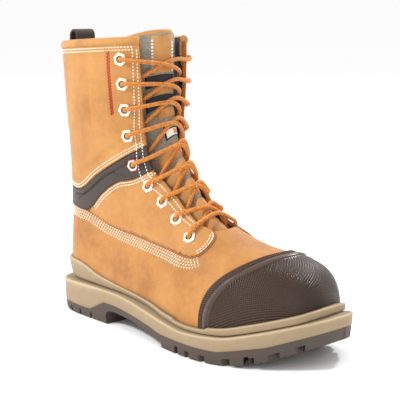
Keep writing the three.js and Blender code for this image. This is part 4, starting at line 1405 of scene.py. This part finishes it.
def sole_ring(share):
    """Points of one cross-section of the outsole, outer side up and arch side down."""
    ring = []
    for side in SIDES:
        shares = (max(share - 0.006, 0), share, min(share + 0.006, 1))
        before, here, after = (np.array([s * SOLE_LENGTH, edge_y(s, side)]) for s in shares)
        way = unit(after - before)
        inward = np.array([-way[1], way[0]]) * -side
        part = [[*(here + inward * inset), line_at(line, share) + rise] for inset, line, rise in SOLE_LEVELS]
        ring += part if side < 0 else part[::-1]
    return ring


def closed_loft(rings):
    """Points and faces of a loft through rings of equal size, closed at both ends."""
    points = np.array(rings)
    count, size = points.shape[:2]
    faces = grid_faces(count, size, wrap=True).tolist()
    first, last = list(range(size)), list(range((count - 1) * size, count * size))
    return points.reshape(-1, 3), [*faces, first[::-1], last]


def prism(points):
    """Points and faces of the solid between two outlines of equal size."""
    count = len(points) // 2
    sides = [[k, (k + 1) % count, count + (k + 1) % count, count + k] for k in range(count)]
    return np.array(points), [*sides, list(range(count))[::-1], list(range(count, 2 * count))]


def join_parts(parts):
    points, faces, count = [], [], 0
    for part_points, part_faces in parts:
        points.append(part_points)
        faces += [[i + count for i in face] for face in part_faces]
        count += len(part_points)
    return np.vstack(points), faces


def cut(obj, cutter):
    modifier = obj.modifiers.new("Cut", "BOOLEAN")
    modifier.operation = "DIFFERENCE"
    modifier.solver = "EXACT"
    modifier.use_self = True
    modifier.object = cutter
    bpy.context.view_layer.update()
    graph = bpy.context.evaluated_depsgraph_get()
    mesh = bpy.data.meshes.new_from_object(obj.evaluated_get(graph))
    obj.modifiers.clear()
    obj.data = mesh
    bpy.data.objects.remove(cutter)


def outward(name, parts):
    """A mesh of closed parts whose faces all look outwards."""
    obj = bare_mesh(name, *join_parts(parts))
    work = bmesh.new()
    work.from_mesh(obj.data)
    bmesh.ops.recalc_face_normals(work, faces=work.faces)
    work.to_mesh(obj.data)
    work.free()
    return obj


def turned(points, centre, turn):
    """Points given along and across a direction, set about a centre."""
    turn = math.radians(turn)
    way, side = np.array([math.cos(turn), math.sin(turn)]), np.array([-math.sin(turn), math.cos(turn)])
    points = np.asarray(points, float)
    return np.asarray(centre, float) + points[:, :1] * way + points[:, 1:] * side


def mirrored(half):
    return np.vstack([half, np.array(half)[::-1] * [1, -1]])


def edge_lug(side, x, width, length, turn):
    """Centre, direction and outline of a block that ends at the sole's edge."""
    edge = np.array([x, edge_y(x / SOLE_LENGTH, side)])
    out = turn if side > 0 else turn + 180
    way = turned([[1, 0]], [0, 0], out)[0]
    half = [[0.5 * length + 15, -0.5 * width], [0, -0.5 * width], [-0.26 * length, -0.44 * width],
            [-0.5 * length, -0.1 * width]]
    return edge - way * length / 2, out, mirrored(half)


def all_lugs():
    """Every tread block: centre, direction, outline, length, width, whether it ends at the edge."""
    lugs = []
    for side in SIDES:
        for x, width, length, turn in EDGE_LUGS[side]:
            lugs.append((*edge_lug(side, x, width, length, turn), length, width, True))
    for x, y, length, width, turn in INNER_LUGS:
        lugs.append((np.array([x, y], float), turn, mirrored(LEAF) * [length, width], length, width, False))
    return lugs


GROOVE_LOW, CUT_LOW, CUT_DEEP = -9, -12, -15  # cutters start well below the floor
LUG_HIGH = 70  # and blocks end well above the tread
FIELD_HALF, ARCH_HALF = 80, 120  # half widths of the cutters that cross the whole sole
SLIT_DEPTH = 1.3


def tread_roof(x):
    """Height of the ground between the tread's blocks."""
    return line_at(TREAD_LINE, x / SOLE_LENGTH) + LUG_DEPTH


def groove_block(length, width, x, y, turn):
    """A cutter that keeps its depth as the tread rises to the toe."""
    centre = [x * SOLE_LENGTH, y * BALL_WIDTH]
    deeper = LONG_GROOVE_EXTRA if length > LONG_GROOVE else 0
    section = ((-1, 0), (1, 0), (1, 1), (-1, 1))
    rings = []
    for s in np.linspace(-length / 2, length / 2, 9):
        flat = turned([[s, w * (width / 2 - 0.5 * top)] for w, top in section], centre, turn)
        heights = [tread_roof(p[0]) + deeper if top else GROOVE_LOW for p, (_, top) in zip(flat, section)]
        rings.append([[*p, z] for p, z in zip(flat, heights)])
    return closed_loft(rings)


def slit(path, width, line, depth, closed=False):
    """A cutter for a fine slit along a path, with its depth above a line of heights."""
    path = resampled(np.asarray(path, float), 2.0, closed=closed)
    if closed:
        way = unit(np.roll(path, -1, 0) - np.roll(path, 1, 0))
    else:
        way = unit(np.gradient(path, axis=0))
    across = np.stack([-way[:, 1], way[:, 0]], -1) * width / 2
    rings = []
    for point, off in zip(path, across):
        left, right, roof = point - off, point + off, line_at(line, point[0] / SOLE_LENGTH) + depth
        rings.append([[*left, CUT_LOW], [*right, CUT_LOW], [*right, roof], [*left, roof]])
    if not closed:
        return closed_loft(rings)
    faces = grid_faces(len(rings) + 1, 4, wrap=True) % (len(rings) * 4)
    return np.array(rings).reshape(-1, 3), faces.tolist()


def tread_slits():
    """Fine slits in the larger blocks, and ribs across the toe's plates."""
    parts = []
    for centre, turn, _, length, width, at_edge in all_lugs():
        if length < 20:
            continue
        reach = 0.5 * length + 6 if at_edge else 0.4 * length
        middle = turned([[-0.4 * length, 0], [reach, 0]], centre, turn)
        parts.append(slit(middle, 0.8, TREAD_LINE, SLIT_DEPTH))
        loop = turned(mirrored(LEAF_SLIT) * [length, width * 1.1], centre, turn)
        parts.append(slit(loop, 0.8, TREAD_LINE, SLIT_DEPTH, closed=True))
    for place in np.arange(259, 288, 4.6):
        start = 98 - 1.1 * (place - 257)
        parts.append(slit(turned([[start, place], [158, place]], [0, 0], -62), 0.9, TREAD_LINE, 1.2))
    return parts


def sole_body():
    bend = (1 - np.cos(np.linspace(0, PI, 90))) / 2
    shares = np.unique(np.concatenate([bend, [0.205, 0.275, 0.33, 0.84, 0.9]]))
    return outward("outsole_rubber", [closed_loft([sole_ring(share) for share in shares])])


def tread_field():
    """The slab under the forefoot that is taken off the sole, with holes where the blocks stand."""
    level = np.linspace(TREAD_START, 0.78 * SOLE_LENGTH, 4)
    rising = np.linspace(0.8, 1.03, 24) * SOLE_LENGTH
    half, rings = FIELD_HALF, []
    for x in [*level, *rising]:
        roof = tread_roof(x)
        rings.append([[x, -half, CUT_LOW], [x, half, CUT_LOW], [x, half, roof], [x, -half, roof]])
    field = outward("field", [closed_loft(rings)])
    outlines = [turned(shape, centre, turn) for centre, turn, shape, *_ in all_lugs()]
    outlines += TOE_PLATES
    lugs = [prism([[*p, z] for z in (CUT_DEEP, LUG_HIGH) for p in shape]) for shape in outlines]
    cut(field, outward("lugs", lugs))
    return field


def fine_cuts():
    """The arch and every straight groove and slit."""
    parts = [prism([[x * SOLE_LENGTH, y, z] for y in (-ARCH_HALF, ARCH_HALF) for x, z in ARCH])]
    parts += [groove_block(*row) for row in GROOVES]
    parts += tread_slits()
    parts.append(slit(ARCH_PLATE, 1.4, ARCH, 0.9, closed=True))
    return outward("cutter", parts)


def make_outsole():
    obj = sole_body()
    cut(obj, tread_field())
    cut(obj, fine_cuts())
    obj.data.materials.clear()
    obj.data.materials.append(OUTSOLE)
    obj.data.shade_smooth()
    obj.data.set_sharp_from_angle(angle=math.radians(28))
    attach(obj, "root")
    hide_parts("outsole")


# Stitching
WHITE_ROW = (2.9, 2.1, 0.5)  # pitch, length and thread radius of the plain rows


def stitch_seam(white, side):
    """Four slanted rows under the seam and two round its front tab."""
    seam = side_line(SEAM, side)
    corner = np.argmax(line_point(seam)[:, 0])
    for row, distance in enumerate((1.7, 4.1, 6.5, 8.9)):
        line = under(seam[:corner - 5], side, distance)
        white.row(line, 0.15, 3.0, 1.7, 0.52, slant=-0.9 * side, phase=0.5 * (row % 2))
    tab = ahead_of(seam, 0.645)
    for distance in (1.8, 4.2):
        white.row(over(tab, side, distance), QUARTER_STEP, *WHITE_ROW)


def stitch_edges(white, distance):
    """One row at a distance from the edges of bands, throat, tongue strip and collar."""
    lines = []
    for side in SIDES:
        low = ahead_of(side_line(BAND_LOW[side], side), 0.21)
        lines.append(over(side_line(BAND_TOP[side], side), side, distance))
        lines.append(under(low, side, distance))
        lines.append(throat_line(8.1, 19.4, side, distance, 400))
    lines.append(collar_line(COLLAR_BAND + distance + 0.3, past=distance))
    for line in lines:
        white.row(line, QUARTER_STEP, *WHITE_ROW)
    for angle in (-0.36 + 0.01 * distance, 0.17 - 0.01 * distance):
        line = np.stack([np.linspace(17.5, 19.9, 40), np.full(40, angle)], -1)
        white.row(line, tongue_height(angle) + 0.95, 2.9, 2.0, 0.5)


def make_stitches():
    white, red = Stitches(), Stitches()
    for side in SIDES:
        stitch_seam(white, side)
        for x, phase in ((STRIPE_X - 0.8, 0), (STRIPE_X + 0.8, 0.5)):
            line = onto(curve_through([[x, 247], [x, 222], [x, 190]], 1.2), side)
            red.row(line, QUARTER_STEP - 0.35, 2.6, 2.3, 0.7, slant=0.35, phase=phase)
    for distance in (2.0, 4.4):
        stitch_edges(white, distance)
    white.finish("stitches_white", THREAD, "leather_wheat")
    red.finish("stitches_red", THREAD_RED, "leather_wheat")


def make_all():
    make_base()
    make_throat_edges()
    make_panels()
    make_edge_beads()
    make_band_lines()
    make_toe_cap()
    make_collar()
    make_tongue()
    make_tongue_pieces()
    make_loop()
    for side in SIDES:
        for index in range(len(EYELETS)):
            make_eyelet(index, side)
    make_lace()
    make_midsole()
    make_outsole()
    make_stitches()
    dark = Stitches()
    make_binding(dark)
    dark.finish("stitches_dark", THREAD_BROWN, "binding_dark")
    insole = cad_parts["insole"]
    insole.data.materials.clear()
    insole.data.materials.append(INSOLE_CLOTH)


# Camera, floor and light; lengths are metres here
EYE = (0.6803, -0.6288, 0.2810)
AIM = (0.008, 0.002, 0.118)
LIGHT_AIM = (0, 0, 0.1)
LENS = 97
BACKGROUND_STRENGTH = 0.97


def stand(obj, place, target):
    """Put a camera or a light at a place, looking at a target."""
    obj.location = place
    obj.rotation_euler = (Vector(target) - Vector(place)).to_track_quat("-Z", "Y").to_euler()


def make_camera():
    data = bpy.data.cameras.new("camera")
    data.lens = LENS
    data.sensor_width = 36
    camera = add_object("camera", data)
    stand(camera, EYE, AIM)
    bpy.context.scene.camera = camera


def make_light(name, place, size, power):
    data = bpy.data.lights.new(name, "AREA")
    data.size = size
    data.energy = power
    stand(add_object(name, data), place, LIGHT_AIM)


def make_studio():
    mesh = bpy.data.meshes.new("floor")
    mesh.from_pydata([(-6, -6, 0), (6, -6, 0), (6, 6, 0), (-6, 6, 0)], [], [(0, 1, 2, 3)])
    mesh.materials.append(Finish("floor_paper", "#FFFFFF", 0.9, specular=0.0).material)
    add_object("floor", mesh)
    world = bpy.data.worlds.new("studio")
    world.use_nodes = True
    background = world.node_tree.nodes["Background"]
    background.inputs["Color"].default_value = (1, 1, 1, 1)
    background.inputs["Strength"].default_value = BACKGROUND_STRENGTH
    bpy.context.scene.world = world
    bpy.context.scene.view_settings.view_transform = "Standard"
    make_light("key", (-0.6, -1.3, 1.4), 0.3, 26)
    make_light("spark", (-0.05, 0.95, 0.85), 0.16, 9)


make_all()
make_camera()
make_studio()
